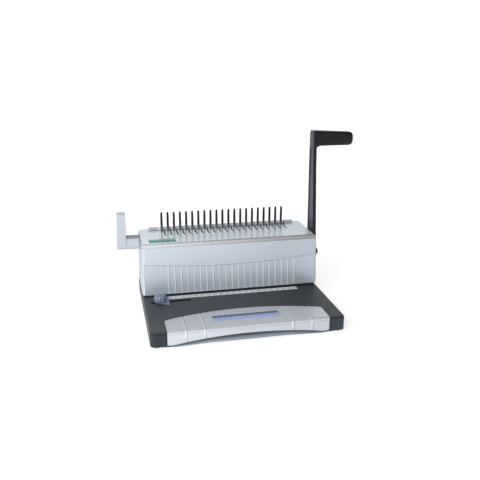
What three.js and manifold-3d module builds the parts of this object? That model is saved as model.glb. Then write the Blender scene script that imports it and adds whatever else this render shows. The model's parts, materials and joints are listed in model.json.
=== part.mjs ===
// Manual comb binding machine: a 21-hole paper punch with a comb opener on its deck.
// Millimetres, +Z up, +X to the user's right, +Y away from the user.
// While it is built, y = 0 is the housing's front edge at the deck and z = 0 is the desk.
// The last lines move the origin under its middle.

import * as THREE from 'three';
import { mergeVertices } from 'three/addons/utils/BufferGeometryUtils.js';
import Module from 'manifold-3d';

const wasm = await Module();
wasm.setup();

// Clearances
const fit_gap = 0.3; // between pieces that rest on or against each other
const running_gap = 0.4; // between pieces that slide or turn in each other
const overrun = 2; // how far a cut runs past the piece that it goes through

// Base
const base_middle = 0.3;
const housing_overhang = 0.7; // how much wider the housing is than the base, at each side
const table_depth = 193; // from the housing's front edge to the base's front
const housing_depth = 131;
const base_top = 33; // height of the paper table above the desk
const foot_height = 2.2;
const foot_radius = 11;
const foot_inset = 14; // from the base's sides to the middle of a foot
const base_wall = 3;
const base_corner_radius = 10;
const base_edge_radius = 4;
const bottom_plate_thickness = 1.8;

// Chip drawer, with the silver front panel as its front
const drawer_width = 329;
const drawer_middle = -1.4;
const tray_side_gap = 8; // from the panel's ends to the tray's sides
const tray_reach = 34; // how far the tray runs in behind the housing's front face
const tray_top = 25.5;
const tray_wall = 2;
const tray_front_slant = 18; // how far the tray's front leans in, for the fingers
const tray_sill_foot = 0.6; // height of the lip below the tray's front, at its ends
const tray_sill_rise = 3.6; // how much higher the lip's lower edge is in its middle
const panel_thickness = 2.9;
const skirt_thickness = 3;
const panel_edge_radius = 3.4;
const panel_depth = 50; // front to back at the ends of the panel
const panel_crown = 28; // how much further back the curved edge reaches in its middle
const panel_corner_radius = 7;
const skirt_foot = 6.8; // height of the skirt's lower edge at its ends
const arch_rise = 11.6;
const arch_half_span = 152;
const skirt_line_drop = 6.5; // from the panel's top down to the line along the skirt
const skirt_line_width = 1;
const groove_width = 3.4;
const groove_depth = 0.9;
const groove_places = [-127, -90, 89, 129];
const gauge_width = 140;
const gauge_middle = -0.4;
const gauge_depth = 27;
const gauge_inset = 22.5; // from the base's front to the gauge
const gauge_thickness = 1;
const gauge_recess = 0.9;

// Paper scale and edge guide on the table
const scale_end = 4.6; // from the middle of an end hole to the strip's end
const scale_depth = 15.5;
const scale_gap = 13; // from the housing's front edge to the strip
const scale_thickness = 0.5;
const scale_recess = 0.8;
const guide_slot_inset = 14.3; // from the base's left side
const guide_slot_length = 87.2;
const guide_slot_gap = 41.5; // from the housing's front edge to the middle of the slot
const guide_slot_width = 8.2;
const guide_start = 21.2; // from the slot's left end to the knob's axis
const guide_plate_left = 12; // from the knob's axis to the plate's left edge
const guide_plate_right = 17.5;
const guide_plate_front = 22;
const guide_plate_back = 14;
const guide_plate_left_depth = 17; // front to back at the plate's left edge
const guide_plate_thickness = 2.6;
const fence_height = 4.8;
const fence_thickness = 3;
const knob_radius = 13.6;
const knob_height = 14.6;
const knob_grip_depth = 1.1;
const knob_grip_count = 9;
const stud_radius = 2;
const clamp_plate_width = 15;
const clamp_plate_depth = 11;
const clamp_plate_thickness = 1.6;

// Punch holes, comb fingers and front ribs share one pitch
const pitch = 14.2875;
const hole_count = 21;
const punch_row_middle = 2.4;
const finger_row_middle = 0.7;

// Housing
const housing_end = 56.8; // from the middle of an end hole to the housing's side
const housing_middle = 2;
const housing_bottom = 36.5; // the paper goes in below this edge
const deck_top = 149;
const housing_draft = 2.5; // each side leans in by this much at the deck
const front_lean = 6.5; // the front stands out by this much at its lower edge
const front_chamfer = 6.5; // along the deck's front edge
const housing_wall = 2.6;
const housing_corner_radius = 6.5;
const deck_bevel = 5;
const seam_width = 1.2; // the lines that part the cover's edge strip from deck and walls
const seam_depth = 0.9;
const cheek_start = 8; // behind this the side walls come down to the table
const window_side = 5; // the cover's edge strip beside the front panel
const arc_end_height = 106; // the panel's upper edge at its ends
const arc_middle_height = 94.7;
const parting_gap = 0.8; // between the panel's curved edge and the cover
const panel_setback = 0.7;
const front_panel_thickness = 2.2;
const rib_width = 3.6;
const rib_crest_width = 1.7;
const rib_height = 1.6;
const rib_bottom = 41;
const rib_top_gap = 1.5; // from the ribs to the panel's curved edge
const lip_height = 3.8;
const lip_depth = 1.5;
const rear_window_side = 16;
const rear_window_bottom = 12;
const rear_window_top = 14;
const rear_panel_thickness = 2;
const vent_width = 40;
const vent_column_pitch = 60;
const vent_height = 3;
const vent_pitch = 8;
const vent_columns = 4;
const vent_rows = 4;

// Label plate and rear ledge on the deck
const label_inset = 19.5; // from the housing's left side
const label_width = 59;
const label_front = 17;
const label_depth = 25;
const label_recess = 0.6;
const label_thickness = 0.5;
const ledge_inset = 25; // from the housing's sides to the ledge's ends
const ledge_back_gap = 13; // from the housing's back to the ledge
const ledge_depth = 8;
const ledge_height = 7.5;
const ledge_edge_radius = 3;

// Frame plates inside the housing
const frame_thickness = 3;
const frame_side_gap = 17.5; // from the housing's sides to the plates' outer faces
const frame_front = 5;
const frame_back_gap = 7; // from the housing's back to the plates
const frame_top = 140;
const frame_corner_radius = 6;
const tie_bar_radius = 4;
const tie_bar_back_gap = 19; // from the housing's back to the bar's axis
const tie_bar_z = 62;

// Punch
const punch_y = 15;
const pin_width = 8;
const pin_depth = 3;
const die_depth = 24;
const die_thickness = 4.2;
const die_end = 28; // from the middle of an end hole to the die's end
const guide_height = 8;
const paper_stop_y = 22; // back end of the paper throat
const stroke = 11.2;
const pin_clearance = 0.6; // from a raised pin's end up into its guide hole
const bar_depth = 16;
const bar_height = 20;
const bar_bottom = 72;
const bar_overhang = 2; // how far the bar's ends stand out through the frame plates
const rack_width = 10;
const rack_height = 42;
const rack_inset = 28; // from a frame plate's outer face to the middle of its rack

// Drive shaft, its pinions and the punch handle
const pivot_y = 45;
const pivot_z = 95.5;
const drive_shaft_radius = 4.5;
const bush_radius = 6.3;
const bush_flange_radius = 8.4;
const bush_flange_thickness = 1.5;
const drive_module = 1.25;
const drive_teeth = 12;
const drive_pinion_width = 12;
const drive_addendum = 0.85;
const drive_dedendum = 1.3;
const backlash = 0.7;
const arm_thickness = 8;
const arm_boss_radius = 19;
const arm_height = 281.5; // from the pivot up to the top of the grip
const arm_edge_radius = 1.2;
const arm_channel_depth = 1.2;
const arm_channel_margin = 6;
const arm_top_radius = 7;
const arm_front_low = -10;
const arm_back_low = 32;
const arm_low_height = 50.5;
const arm_front_high = 5;
const arm_back_high = 36.5;
const arm_high_drop = 76.5; // from the grip's top down to where the arm's front bends
const arm_front_top = 8;
const arm_back_top = 36;
const grip_length = 89;
const grip_height = 35;
const grip_end_drop = 4.5; // how much lower the grip's top is at its outer end
const grip_depth = 24;
const grip_edge_radius = 4;
const grip_end_radius = 9;
const grip_fillet_radius = 8.5;
const washer_radius = 14;
const washer_thickness = 1.3;
const cap_radius = 7.5;
const cap_height = 8.5;
const shaft_end_reach = 4; // how far the shaft runs out past the arm, into its cap
const spring_coils = 5;
const spring_wire_radius = 0.9;
const spring_radius = 9.6;
const spring_length = 13;
const spring_offset = 4.5; // from the right frame plate to the first coil
const spring_steps_per_turn = 8;
const spring_wire_sides = 6;

// Comb opener
const finger_back_gap = 29.6; // from the housing's back to the middle of the fingers
const finger_tip_height = 46; // above the deck
const finger_base_width = 5;
const finger_tip_width = 3.5;
const finger_base_depth = 3.4;
const finger_tip_depth = 2.6;
const finger_tip_taper = 2.5;
const finger_hole_gap = 0.6;
const finger_flange_depth = 20;
const finger_flange_thickness = 2.8;
const finger_flange_end = 9; // past the middle of the last finger
const hook_shift = 5.6; // a hook stands this far to the right of its finger
const hook_width = 2;
const hook_stem_depth = 3;
const hook_height = 5.4; // above the deck
const hook_nose = 2.6;
const hook_nose_height = 1.6;
const hook_slot_width = 3.2;
const hook_slot_back_gap = 33; // from the housing's back to the slots' back ends
const hook_travel = 27.5;
const hook_plate_thickness = 1.8;
const hook_plate_depth = 35.6;
const hook_rack_width = 9;
const hook_rack_inset = 14; // from a frame plate's outer face to the middle of its rack
const hook_rack_back_gap = 7.5; // from the housing's back to the racks' back ends

// Lever of the comb opener
const lever_back_gap = 38; // from the housing's back to the lever's axis
const lever_z = 128;
const lever_shaft_radius = 5;
const lever_module = 1.875;
const lever_teeth = 16; // a multiple of 4, so that one points up at its rack
const lever_pinion_width = 8;
const lever_addendum = 0.8;
const lever_dedendum = 1.3;
const lever_stand_out = 48.4; // from the housing's left side to the lever's outer face
const lever_width = 21.5;
const lever_narrowing = 3; // how much less wide the lever is at its top
const lever_hub_radius = 13.8;
const lever_hub_rise = 18.5; // from the axis up to the top of the hub
const lever_hub_gap = 0.7;
const lever_reach = 72; // from the axis up to the lever's top
const lever_top_depth = 24;
const lever_top_radius = 4;
const lever_edge_radius = 1.4;
const lever_socket_depth = 8; // how far the shaft runs into the lever's arm

const quarter_turn = Math.PI / 2;
const half_turn = Math.PI;
const full_turn = 2 * Math.PI;
const pressure_angle = Math.PI / 9;

// Sizes that follow from those above
const row_length = (hole_count - 1) * pitch;
const housing_width = row_length + 2 * housing_end;
const base_width = housing_width - 2 * housing_overhang;
const base_bottom = foot_height;
const base_left = base_middle - base_width / 2;
const base_right = base_middle + base_width / 2;
const base_front = -table_depth;
const base_back = housing_depth;
const drawer_left = drawer_middle - drawer_width / 2;
const drawer_right = drawer_middle + drawer_width / 2;
const panel_top = base_top + fit_gap + panel_thickness;
const panel_front = base_front - fit_gap - skirt_thickness;
const tray_bottom = base_bottom + bottom_plate_thickness + running_gap;
const housing_left = housing_middle - housing_width / 2;
const housing_right = housing_middle + housing_width / 2;
const deck_underside = deck_top - housing_wall;
const wallInset = (height) => housing_draft * (height - housing_bottom) / (deck_top - housing_bottom);
const arm_left = housing_right - wallInset(pivot_z) + running_gap + washer_thickness + fit_gap;
const lever_left = housing_left - lever_stand_out;
const frame_left = housing_left + frame_side_gap;
const frame_right = housing_right - frame_side_gap;
const punch_first = punch_row_middle - row_length / 2;
const finger_first = finger_row_middle - row_length / 2;
const scale_width = row_length + 2 * scale_end;
const scale_back = -scale_gap;
const guide_slot_left = base_left + guide_slot_inset;
const guide_slot_right = guide_slot_left + guide_slot_length;
const guide_slot_y = -guide_slot_gap;
const guide_x = guide_slot_left + guide_start;
const gauge_front = base_front + gauge_inset;
const label_left = housing_left + label_inset;
const die_length = row_length + 2 * die_end;
const arm_high_height = arm_height - arm_high_drop;
const ledge_front = housing_depth - ledge_back_gap - ledge_depth;
const frame_back = housing_depth - frame_back_gap;
const tie_bar_y = housing_depth - tie_bar_back_gap;
const finger_y = housing_depth - finger_back_gap;
const lever_y = housing_depth - lever_back_gap;
const hook_slot_back = housing_depth - hook_slot_back_gap;
const hook_slot_front = hook_slot_back - hook_stem_depth - hook_travel - 2 * running_gap;
const hook_plate_back = hook_slot_back - running_gap;
const hook_plate_front = hook_plate_back - hook_plate_depth;
const hook_rack_back = housing_depth - hook_rack_back_gap;
const die_top = base_top - fit_gap;
const pin_bottom = housing_bottom + pin_clearance;
const drive_pitch_radius = drive_module * drive_teeth / 2;
const lever_pitch_radius = lever_module * lever_teeth / 2;
const hook_pitch_height = lever_z + lever_pitch_radius;
const hook_plate_top = deck_underside - running_gap;

const finishes = {
  charcoal_plastic: { color: 0x43464b, roughness: 0.55, metalness: 0 },
  silver_plastic: { color: 0xc3cad2, roughness: 0.38, metalness: 0.35 },
  panel_silver: { color: 0xb4b6ba, roughness: 0.36, metalness: 0.4 },
  handle_metal: { color: 0x33363b, roughness: 0.45, metalness: 0.3 },
  grip_plastic: { color: 0x26272b, roughness: 0.5, metalness: 0 },
  lever_plastic: { color: 0xc8d0da, roughness: 0.42, metalness: 0 },
  guide_plastic: { color: 0x7d8ca4, roughness: 0.3, metalness: 0 },
  tray_plastic: { color: 0x6e7983, roughness: 0.5, metalness: 0 },
  gauge_blue: { color: 0x95a5d8, roughness: 0.4, metalness: 0 },
  label_green: { color: 0x569880, roughness: 0.45, metalness: 0 },
  scale_white: { color: 0xe8eaec, roughness: 0.5, metalness: 0 },
  black_steel: { color: 0x202124, roughness: 0.42, metalness: 0.5 },
  bright_steel: { color: 0xaab0b4, roughness: 0.3, metalness: 1 },
  brass: { color: 0xb08d4c, roughness: 0.35, metalness: 1 },
  rubber: { color: 0x1c1c1e, roughness: 0.9, metalness: 0 },
};

// Joining and cutting

function solidOf(geometry) {
  const bare = geometry.clone();
  bare.deleteAttribute('normal');
  bare.deleteAttribute('uv');
  const merged = mergeVertices(bare);
  const corners = merged.index.array;
  const kept = [];
  for (let i = 0; i < corners.length; i += 3) {
    const [a, b, c] = [corners[i], corners[i + 1], corners[i + 2]];
    if (a !== b && b !== c && c !== a) {
      kept.push(a, b, c);
    }
  }
  return new wasm.Manifold(new wasm.Mesh({
    numProp: 3,
    vertProperties: new Float32Array(merged.attributes.position.array),
    triVerts: new Uint32Array(kept),
  }));
}

function geometryOf(solid) {
  const mesh = solid.getMesh();
  const geometry = new THREE.BufferGeometry();
  geometry.setAttribute('position', new THREE.BufferAttribute(mesh.vertProperties, 3));
  geometry.setIndex(new THREE.BufferAttribute(mesh.triVerts, 1));
  geometry.computeVertexNormals();
  return geometry;
}

function joined(first, ...others) {
  return geometryOf(others.reduce((solid, other) => solid.add(solidOf(other)), solidOf(first)));
}

function cut(body, ...tools) {
  return geometryOf(tools.reduce((solid, tool) => solid.subtract(solidOf(tool)), solidOf(body)));
}

function overlap(first, ...others) {
  return geometryOf(others.reduce((solid, other) => solid.intersect(solidOf(other)), solidOf(first)));
}

// Basic forms

function block(left, right, front, back, bottom, top) {
  const geometry = new THREE.BoxGeometry(right - left, back - front, top - bottom);
  geometry.translate((left + right) / 2, (front + back) / 2, (bottom + top) / 2);
  return geometry;
}

// A prism of an outline drawn in x and y, with its upper and lower edges rounded by edge.
function alongZ(outline, bottom, top, edge = 0, edge_steps = 2, arc_steps = 6) {
  const geometry = new THREE.ExtrudeGeometry(outline, {
    depth: top - bottom - 2 * edge,
    curveSegments: arc_steps,
    bevelEnabled: edge > 0,
    bevelThickness: edge,
    bevelSize: edge,
    bevelOffset: -edge,
    bevelSegments: edge_steps,
  });
  geometry.translate(0, 0, bottom + edge);
  return geometry;
}

// A prism of an outline drawn in x and z, from front to back.
function alongY(outline, front, back, edge = 0, edge_steps = 2, arc_steps = 6) {
  const geometry = alongZ(outline, -back, -front, edge, edge_steps, arc_steps);
  geometry.rotateX(quarter_turn);
  return geometry;
}

// A prism of an outline drawn in y and z, from left to right.
function alongX(outline, left, right, edge = 0, edge_steps = 2, arc_steps = 6) {
  const geometry = alongZ(outline, left, right, edge, edge_steps, arc_steps);
  const turn = new THREE.Matrix4().set(0, 0, 1, 0, 1, 0, 0, 0, 0, 1, 0, 0, 0, 0, 0, 1);
  geometry.applyMatrix4(turn);
  return geometry;
}

function roundedRectangle(left, right, low, high, radius) {
  const shape = new THREE.Shape();
  shape.moveTo(left + radius, low);
  shape.lineTo(right - radius, low);
  shape.absarc(right - radius, low + radius, radius, -quarter_turn, 0, false);
  shape.lineTo(right, high - radius);
  shape.absarc(right - radius, high - radius, radius, 0, quarter_turn, false);
  shape.lineTo(left + radius, high);
  shape.absarc(left + radius, high - radius, radius, quarter_turn, half_turn, false);
  shape.lineTo(left, low + radius);
  shape.absarc(left + radius, low + radius, radius, half_turn, half_turn + quarter_turn, false);
  return shape;
}

function polygon(points) {
  return new THREE.Shape(points.map(([x, y]) => new THREE.Vector2(x, y)));
}

// Points of a shallow circular arc from one end to the other, by how far it bows to its left.
function arcPoints(start, end, bow, steps) {
  const [x0, y0] = start;
  const [x1, y1] = end;
  const half_chord = Math.hypot(x1 - x0, y1 - y0) / 2;
  const radius = (half_chord ** 2 + bow ** 2) / (2 * Math.abs(bow));
  const [along_x, along_y] = [(x1 - x0) / (2 * half_chord), (y1 - y0) / (2 * half_chord)];
  const points = [];
  for (let i = 0; i <= steps; i += 1) {
    const run = half_chord * (2 * i / steps - 1);
    const rise = Math.sign(bow) * (Math.sqrt(radius ** 2 - run ** 2) - radius) + bow;
    points.push([
      (x0 + x1) / 2 + along_x * run - along_y * rise,
      (y0 + y1) / 2 + along_y * run + along_x * rise,
    ]);
  }
  return points;
}

function rodX(left, right, y, z, radius, sides = 16) {
  const geometry = new THREE.CylinderGeometry(radius, radius, right - left, sides);
  geometry.rotateZ(-quarter_turn);
  geometry.translate((left + right) / 2, y, z);
  return geometry;
}

function rodZ(x, y, bottom, top, radius, sides = 24) {
  const geometry = new THREE.CylinderGeometry(radius, radius, top - bottom, sides);
  geometry.rotateX(quarter_turn);
  geometry.translate(x, y, (bottom + top) / 2);
  return geometry;
}

function slotOutline(left, right, middle, width) {
  return roundedRectangle(left, right, middle - width / 2, middle + width / 2, width / 2 - fit_gap / 2);
}

function piece(name, geometry, finish) {
  const mesh = new THREE.Mesh(geometry, new THREE.MeshStandardMaterial(finish));
  mesh.name = name;
  return mesh;
}

function groupOf(...pieces) {
  const group = new THREE.Group();
  group.add(...pieces);
  return group;
}

const rowPlaces = (first) => Array.from({ length: hole_count }, (_, i) => first + i * pitch);

// Base

function baseShell() {
  const outline = roundedRectangle(base_left, base_right, base_front, base_back, base_corner_radius);
  const body = alongZ(outline, base_bottom - base_edge_radius, base_top, base_edge_radius, 2, 4);
  const below = block(
    base_left - overrun, base_right + overrun, base_front - overrun, base_back + overrun,
    base_bottom - base_edge_radius - overrun, base_bottom,
  );
  const inner_outline = roundedRectangle(
    base_left + base_wall, base_right - base_wall, base_front + base_wall, base_back - base_wall,
    base_corner_radius - base_wall,
  );
  const cavity = alongZ(inner_outline, base_bottom - overrun, base_top - base_wall);
  const drawer_mouth = block(
    drawer_left + tray_side_gap - running_gap, drawer_right - tray_side_gap + running_gap,
    base_front - overrun, base_front + base_wall + overrun,
    base_bottom - overrun, base_top - base_wall,
  );
  const die_window = block(
    punch_row_middle - die_length / 2 - fit_gap, punch_row_middle + die_length / 2 + fit_gap,
    punch_y - die_depth / 2 - fit_gap, punch_y + die_depth / 2 + fit_gap,
    base_top - base_wall - overrun, base_top + overrun,
  );
  const guide_slot = alongZ(
    slotOutline(guide_slot_left, guide_slot_right, guide_slot_y, guide_slot_width),
    base_top - base_wall - overrun, base_top + overrun,
  );
  const scale_seat = block(
    punch_row_middle - scale_width / 2 - fit_gap, punch_row_middle + scale_width / 2 + fit_gap,
    scale_back - scale_depth - fit_gap, scale_back + fit_gap,
    base_top - scale_recess, base_top + overrun,
  );
  return cut(body, below, cavity, drawer_mouth, die_window, guide_slot, scale_seat);
}

function bottomPlate() {
  const inset = base_wall + fit_gap;
  const outline = roundedRectangle(
    base_left + inset, base_right - inset, base_front + inset, base_back - inset,
    base_corner_radius - base_wall,
  );
  return alongZ(outline, base_bottom, base_bottom + bottom_plate_thickness, 0, 1, 3);
}

function foot() {
  const profile = [
    [0, 0],
    [foot_radius - base_wall / 2, 0],
    [foot_radius, foot_height - fit_gap],
    [0, foot_height - fit_gap],
  ].map(([radius, height]) => new THREE.Vector2(radius, height));
  const geometry = new THREE.LatheGeometry(profile, 16);
  geometry.rotateX(quarter_turn);
  return geometry;
}

function feet() {
  const places = {
    foot_front_left: [base_left + foot_inset, base_front + foot_inset],
    foot_front_right: [base_right - foot_inset, base_front + foot_inset],
    foot_rear_left: [base_left + foot_inset, base_back - foot_inset],
    foot_rear_right: [base_right - foot_inset, base_back - foot_inset],
  };
  return Object.entries(places).map(([name, [x, y]]) => {
    const mesh = piece(name, foot(), finishes.rubber);
    mesh.position.set(x, y, 0);
    return mesh;
  });
}

function scaleStrip() {
  const outline = roundedRectangle(
    punch_row_middle - scale_width / 2, punch_row_middle + scale_width / 2,
    scale_back - scale_depth, scale_back, scale_depth / 6,
  );
  const bottom = base_top - scale_recess + fit_gap;
  return alongZ(outline, bottom, bottom + scale_thickness, 0, 1, 3);
}

// Chip drawer

// The tray from the side: its front leans in towards its top. Its sides are upright.
const trayFrontAt = (height) => base_front
  + tray_front_slant * (height - tray_bottom) / (tray_top - tray_bottom);

function trayForm(inset, top) {
  const frontAt = (height) => trayFrontAt(height) + inset;
  const section = polygon([
    [frontAt(tray_bottom + inset), tray_bottom + inset],
    [tray_reach - inset, tray_bottom + inset],
    [tray_reach - inset, top],
    [frontAt(top), top],
  ]);
  return alongX(section, drawer_left + tray_side_gap + inset, drawer_right - tray_side_gap - inset);
}

// The lip closes the view under the tray. Its lower edge is a flat arch.
function traySill() {
  const left = drawer_left + tray_side_gap;
  const right = drawer_right - tray_side_gap;
  const sill_top = tray_bottom + tray_wall / 2;
  const sill = alongX(polygon([
    [base_front, tray_sill_foot],
    [base_front + tray_wall, tray_sill_foot],
    [base_front + tray_wall, sill_top],
    [trayFrontAt(sill_top), sill_top],
    [base_front, tray_bottom],
  ]), left, right);
  const arch = alongY(polygon([
    ...arcPoints([left, tray_sill_foot], [right, tray_sill_foot], tray_sill_rise, 12),
    [right, tray_sill_foot - overrun],
    [left, tray_sill_foot - overrun],
  ]), base_front - overrun, base_front + tray_wall + overrun);
  return cut(sill, arch);
}

function chipTray() {
  return cut(joined(trayForm(0, tray_top), traySill()), trayForm(tray_wall, tray_top + overrun));
}

// The panel's section from front to back: a flat top, a rounded edge and a skirt. Where
// the panel is grooved the section is shallower by inset.
function panelSection(inset) {
  const top = panel_top - inset;
  const front = panel_front + inset;
  const radius = panel_edge_radius - inset;
  const line_top = panel_top - skirt_line_drop;
  const back = base_front + panel_depth + panel_crown;
  const shape = new THREE.Shape();
  shape.moveTo(back, top);
  shape.lineTo(front + radius, top);
  shape.absarc(front + radius, top - radius, radius, quarter_turn, half_turn, false);
  shape.lineTo(front, line_top);
  shape.lineTo(panel_front + groove_depth, line_top - skirt_line_width / 2);
  shape.lineTo(front, line_top - skirt_line_width);
  shape.lineTo(front, skirt_foot);
  shape.lineTo(panel_front + skirt_thickness, skirt_foot);
  shape.lineTo(panel_front + skirt_thickness, panel_top - panel_thickness);
  shape.lineTo(back, panel_top - panel_thickness);
  return shape;
}

function panelPlan() {
  const back = base_front + panel_depth;
  const left_arc_start = [drawer_left + panel_corner_radius / 2, back];
  const right_arc_start = [drawer_right - panel_corner_radius / 2, back];
  return polygon([
    [drawer_left, panel_front - overrun],
    [drawer_right, panel_front - overrun],
    [drawer_right, back - panel_corner_radius / 2],
    ...arcPoints(right_arc_start, left_arc_start, -panel_crown, 18),
    [drawer_left, back - panel_corner_radius / 2],
  ]);
}

function skirtArch() {
  const arch = arcPoints(
    [drawer_middle - arch_half_span, skirt_foot], [drawer_middle + arch_half_span, skirt_foot],
    arch_rise, 18,
  );
  return polygon([
    ...arch,
    [drawer_middle + arch_half_span, skirt_foot - overrun],
    [drawer_middle - arch_half_span, skirt_foot - overrun],
  ]);
}

function drawerFront() {
  const edges = [drawer_left];
  for (const place of groove_places) {
    edges.push(place - groove_width / 2, place + groove_width / 2);
  }
  edges.push(drawer_right);
  let body = alongX(panelSection(groove_depth), drawer_left, drawer_right);
  for (let i = 0; i < edges.length; i += 2) {
    body = joined(body, alongX(panelSection(0), edges[i], edges[i + 1]));
  }
  const plan = alongZ(panelPlan(), skirt_foot - overrun, panel_top + overrun);
  const arch = alongY(skirtArch(), panel_front - overrun, panel_front + skirt_thickness + overrun);
  const gauge_seat = block(
    gauge_middle - gauge_width / 2 - fit_gap, gauge_middle + gauge_width / 2 + fit_gap,
    gauge_front - fit_gap, gauge_front + gauge_depth + fit_gap,
    panel_top - gauge_recess, panel_top + overrun,
  );
  return cut(overlap(body, plan), arch, gauge_seat);
}

function sizeGauge() {
  const bottom = panel_top - gauge_recess + fit_gap;
  return block(
    gauge_middle - gauge_width / 2, gauge_middle + gauge_width / 2,
    gauge_front, gauge_front + gauge_depth, bottom, bottom + gauge_thickness,
  );
}

// Edge guide, drawn about its knob's axis with z = 0 on the table

function edgeGuide() {
  const outline = polygon([
    [guide_plate_right, -guide_plate_front],
    [guide_plate_right, guide_plate_back],
    [-guide_plate_left, guide_plate_back],
    [-guide_plate_left, guide_plate_back - guide_plate_left_depth],
  ]);
  const plate = alongZ(outline, fit_gap, guide_plate_thickness);
  const fence = alongX(
    polygon([
      [guide_plate_back, fit_gap],
      [guide_plate_back, fence_height],
      [-guide_plate_front / 3, fence_height],
      [-guide_plate_front, guide_plate_thickness],
      [-guide_plate_front, fit_gap],
    ]),
    guide_plate_right - fence_thickness, guide_plate_right,
  );
  const hole = rodZ(0, 0, -overrun, guide_plate_thickness + overrun, stud_radius + running_gap);
  return cut(joined(plate, fence), hole);
}

function guideKnob() {
  const low = guide_plate_thickness + running_gap;
  const high = low + knob_height;
  const profile = new THREE.Path();
  profile.moveTo(0, low);
  profile.lineTo(knob_radius, low);
  profile.lineTo(knob_radius - fit_gap, low + knob_height / 3);
  profile.quadraticCurveTo(knob_radius - knob_grip_depth, high, 0, high);
  const body = new THREE.LatheGeometry(profile.getPoints(4), 27);
  body.rotateX(quarter_turn);
  const tools = [];
  for (let i = 0; i < knob_grip_count; i += 1) {
    const angle = full_turn * i / knob_grip_count;
    const groove_radius = 3 * knob_grip_depth;
    const reach = knob_radius + groove_radius - knob_grip_depth;
    tools.push(rodZ(
      reach * Math.cos(angle), reach * Math.sin(angle), low - overrun, high + overrun, groove_radius, 8,
    ));
  }
  return cut(body, ...tools);
}

// The stud hangs from the knob through the slot; its head is the clamp plate under the table.
function clampStud() {
  const shank = rodZ(
    0, 0, -base_wall - running_gap - clamp_plate_thickness, guide_plate_thickness + running_gap - fit_gap,
    stud_radius, 16,
  );
  const plate = alongZ(
    roundedRectangle(
      -clamp_plate_width / 2, clamp_plate_width / 2, -clamp_plate_depth / 2, clamp_plate_depth / 2,
      fence_thickness / 2,
    ),
    -base_wall - running_gap - clamp_plate_thickness, -base_wall - running_gap, 0, 1, 3,
  );
  return joined(shank, plate);
}

// Housing

// Leans the sides of a straight-walled form in towards the deck.
function drafted(geometry) {
  const position = geometry.attributes.position;
  for (let i = 0; i < position.count; i += 1) {
    const lean = 1 - wallInset(position.getZ(i)) / (housing_width / 2);
    position.setX(i, housing_middle + (position.getX(i) - housing_middle) * lean);
  }
  return geometry;
}

// Moves a straight form forward with the leaning front: not at all at the deck or at the
// back, and by the whole lean at the front's lower edge.
function leaning(geometry) {
  const position = geometry.attributes.position;
  for (let i = 0; i < position.count; i += 1) {
    const drop = (deck_top - position.getZ(i)) / (deck_top - housing_bottom);
    const nearness = 1 - position.getY(i) / housing_depth;
    position.setY(i, position.getY(i) - front_lean * drop * nearness);
  }
  return geometry;
}

// The upper edge of the front panel sags to its middle; gap moves the whole outline inwards.
function frontWindowOutline(gap) {
  const left = housing_left + window_side + gap;
  const right = housing_right - window_side - gap;
  const low = housing_bottom - (gap > 0 ? 0 : overrun);
  const end = arc_end_height - (gap > 0 ? parting_gap : 0);
  const sag = arc_end_height - arc_middle_height;
  return polygon([[left, low], [right, low], ...arcPoints([right, end], [left, end], sag, 24)]);
}

function housingForm(inset, bottom, top) {
  const outline = roundedRectangle(
    housing_left + inset, housing_right - inset, inset, housing_depth - inset,
    housing_corner_radius - inset / 2,
  );
  const edge = deck_bevel - inset / 2;
  const chamfer = front_chamfer + inset * Math.SQRT2;
  const corner = alongX(
    polygon([
      [-overrun, deck_top - chamfer - overrun],
      [chamfer + overrun, deck_top + overrun],
      [-overrun, deck_top + overrun],
    ]),
    housing_left - overrun, housing_right + overrun,
  );
  return cut(leaning(drafted(alongZ(outline, bottom - edge, top, edge, 3, 4))), corner);
}

// The edge strip runs along the deck's front and sides. One seam parts it from the deck,
// and one on each side and along the front parts it from the walls.
function coverSeams() {
  const low = deck_top - front_chamfer - seam_width;
  const high = deck_top - front_chamfer;
  const wall = wallInset(low) + seam_depth;
  return [
    block(
      housing_left - overrun, housing_right + overrun,
      front_chamfer + seam_width / 2, front_chamfer + seam_width * 3 / 2,
      deck_top - seam_depth, deck_top + overrun,
    ),
    block(
      housing_left - overrun, housing_left + wall, -overrun, housing_depth + overrun, low, high,
    ),
    block(
      housing_right - wall, housing_right + overrun, -overrun, housing_depth + overrun, low, high,
    ),
    block(
      housing_left - overrun, housing_right + overrun, -overrun, seam_depth - fit_gap, low, high,
    ),
  ];
}

function topCover() {
  const floor = base_top + fit_gap;
  const tools = [
    block(
      housing_left - overrun, housing_right + overrun,
      -front_lean - overrun, housing_depth + overrun, floor - deck_bevel - overrun, floor,
    ),
    block(
      housing_left - overrun, housing_right + overrun, -front_lean - overrun, cheek_start,
      floor - overrun, housing_bottom,
    ),
    housingForm(housing_wall, floor - overrun, deck_underside),
    leaning(alongY(frontWindowOutline(0), -overrun, housing_wall + overrun)),
    block(
      housing_left + rear_window_side, housing_right - rear_window_side,
      housing_depth - housing_wall - overrun, housing_depth + overrun,
      floor + rear_window_bottom, deck_top - rear_window_top,
    ),
    rodX(housing_left - overrun, housing_middle, lever_y, lever_z, lever_shaft_radius + running_gap),
    rodX(housing_middle, housing_right + overrun, pivot_y, pivot_z, drive_shaft_radius + running_gap),
    block(
      label_left - fit_gap, label_left + label_width + fit_gap,
      label_front - fit_gap, label_front + label_depth + fit_gap,
      deck_top - label_recess, deck_top + overrun,
    ),
  ];
  tools.push(...coverSeams());
  for (const x of rowPlaces(finger_first)) {
    const half_width = finger_base_width / 2 + finger_hole_gap;
    const half_depth = finger_base_depth / 2 + finger_hole_gap;
    tools.push(block(
      x - half_width, x + half_width, finger_y - half_depth, finger_y + half_depth,
      deck_underside - overrun, deck_top + overrun,
    ));
    tools.push(block(
      x + hook_shift - hook_slot_width / 2, x + hook_shift + hook_slot_width / 2,
      hook_slot_front, hook_slot_back, deck_underside - overrun, deck_top + overrun,
    ));
  }
  return cut(housingForm(0, floor, deck_top), ...tools);
}

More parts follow.
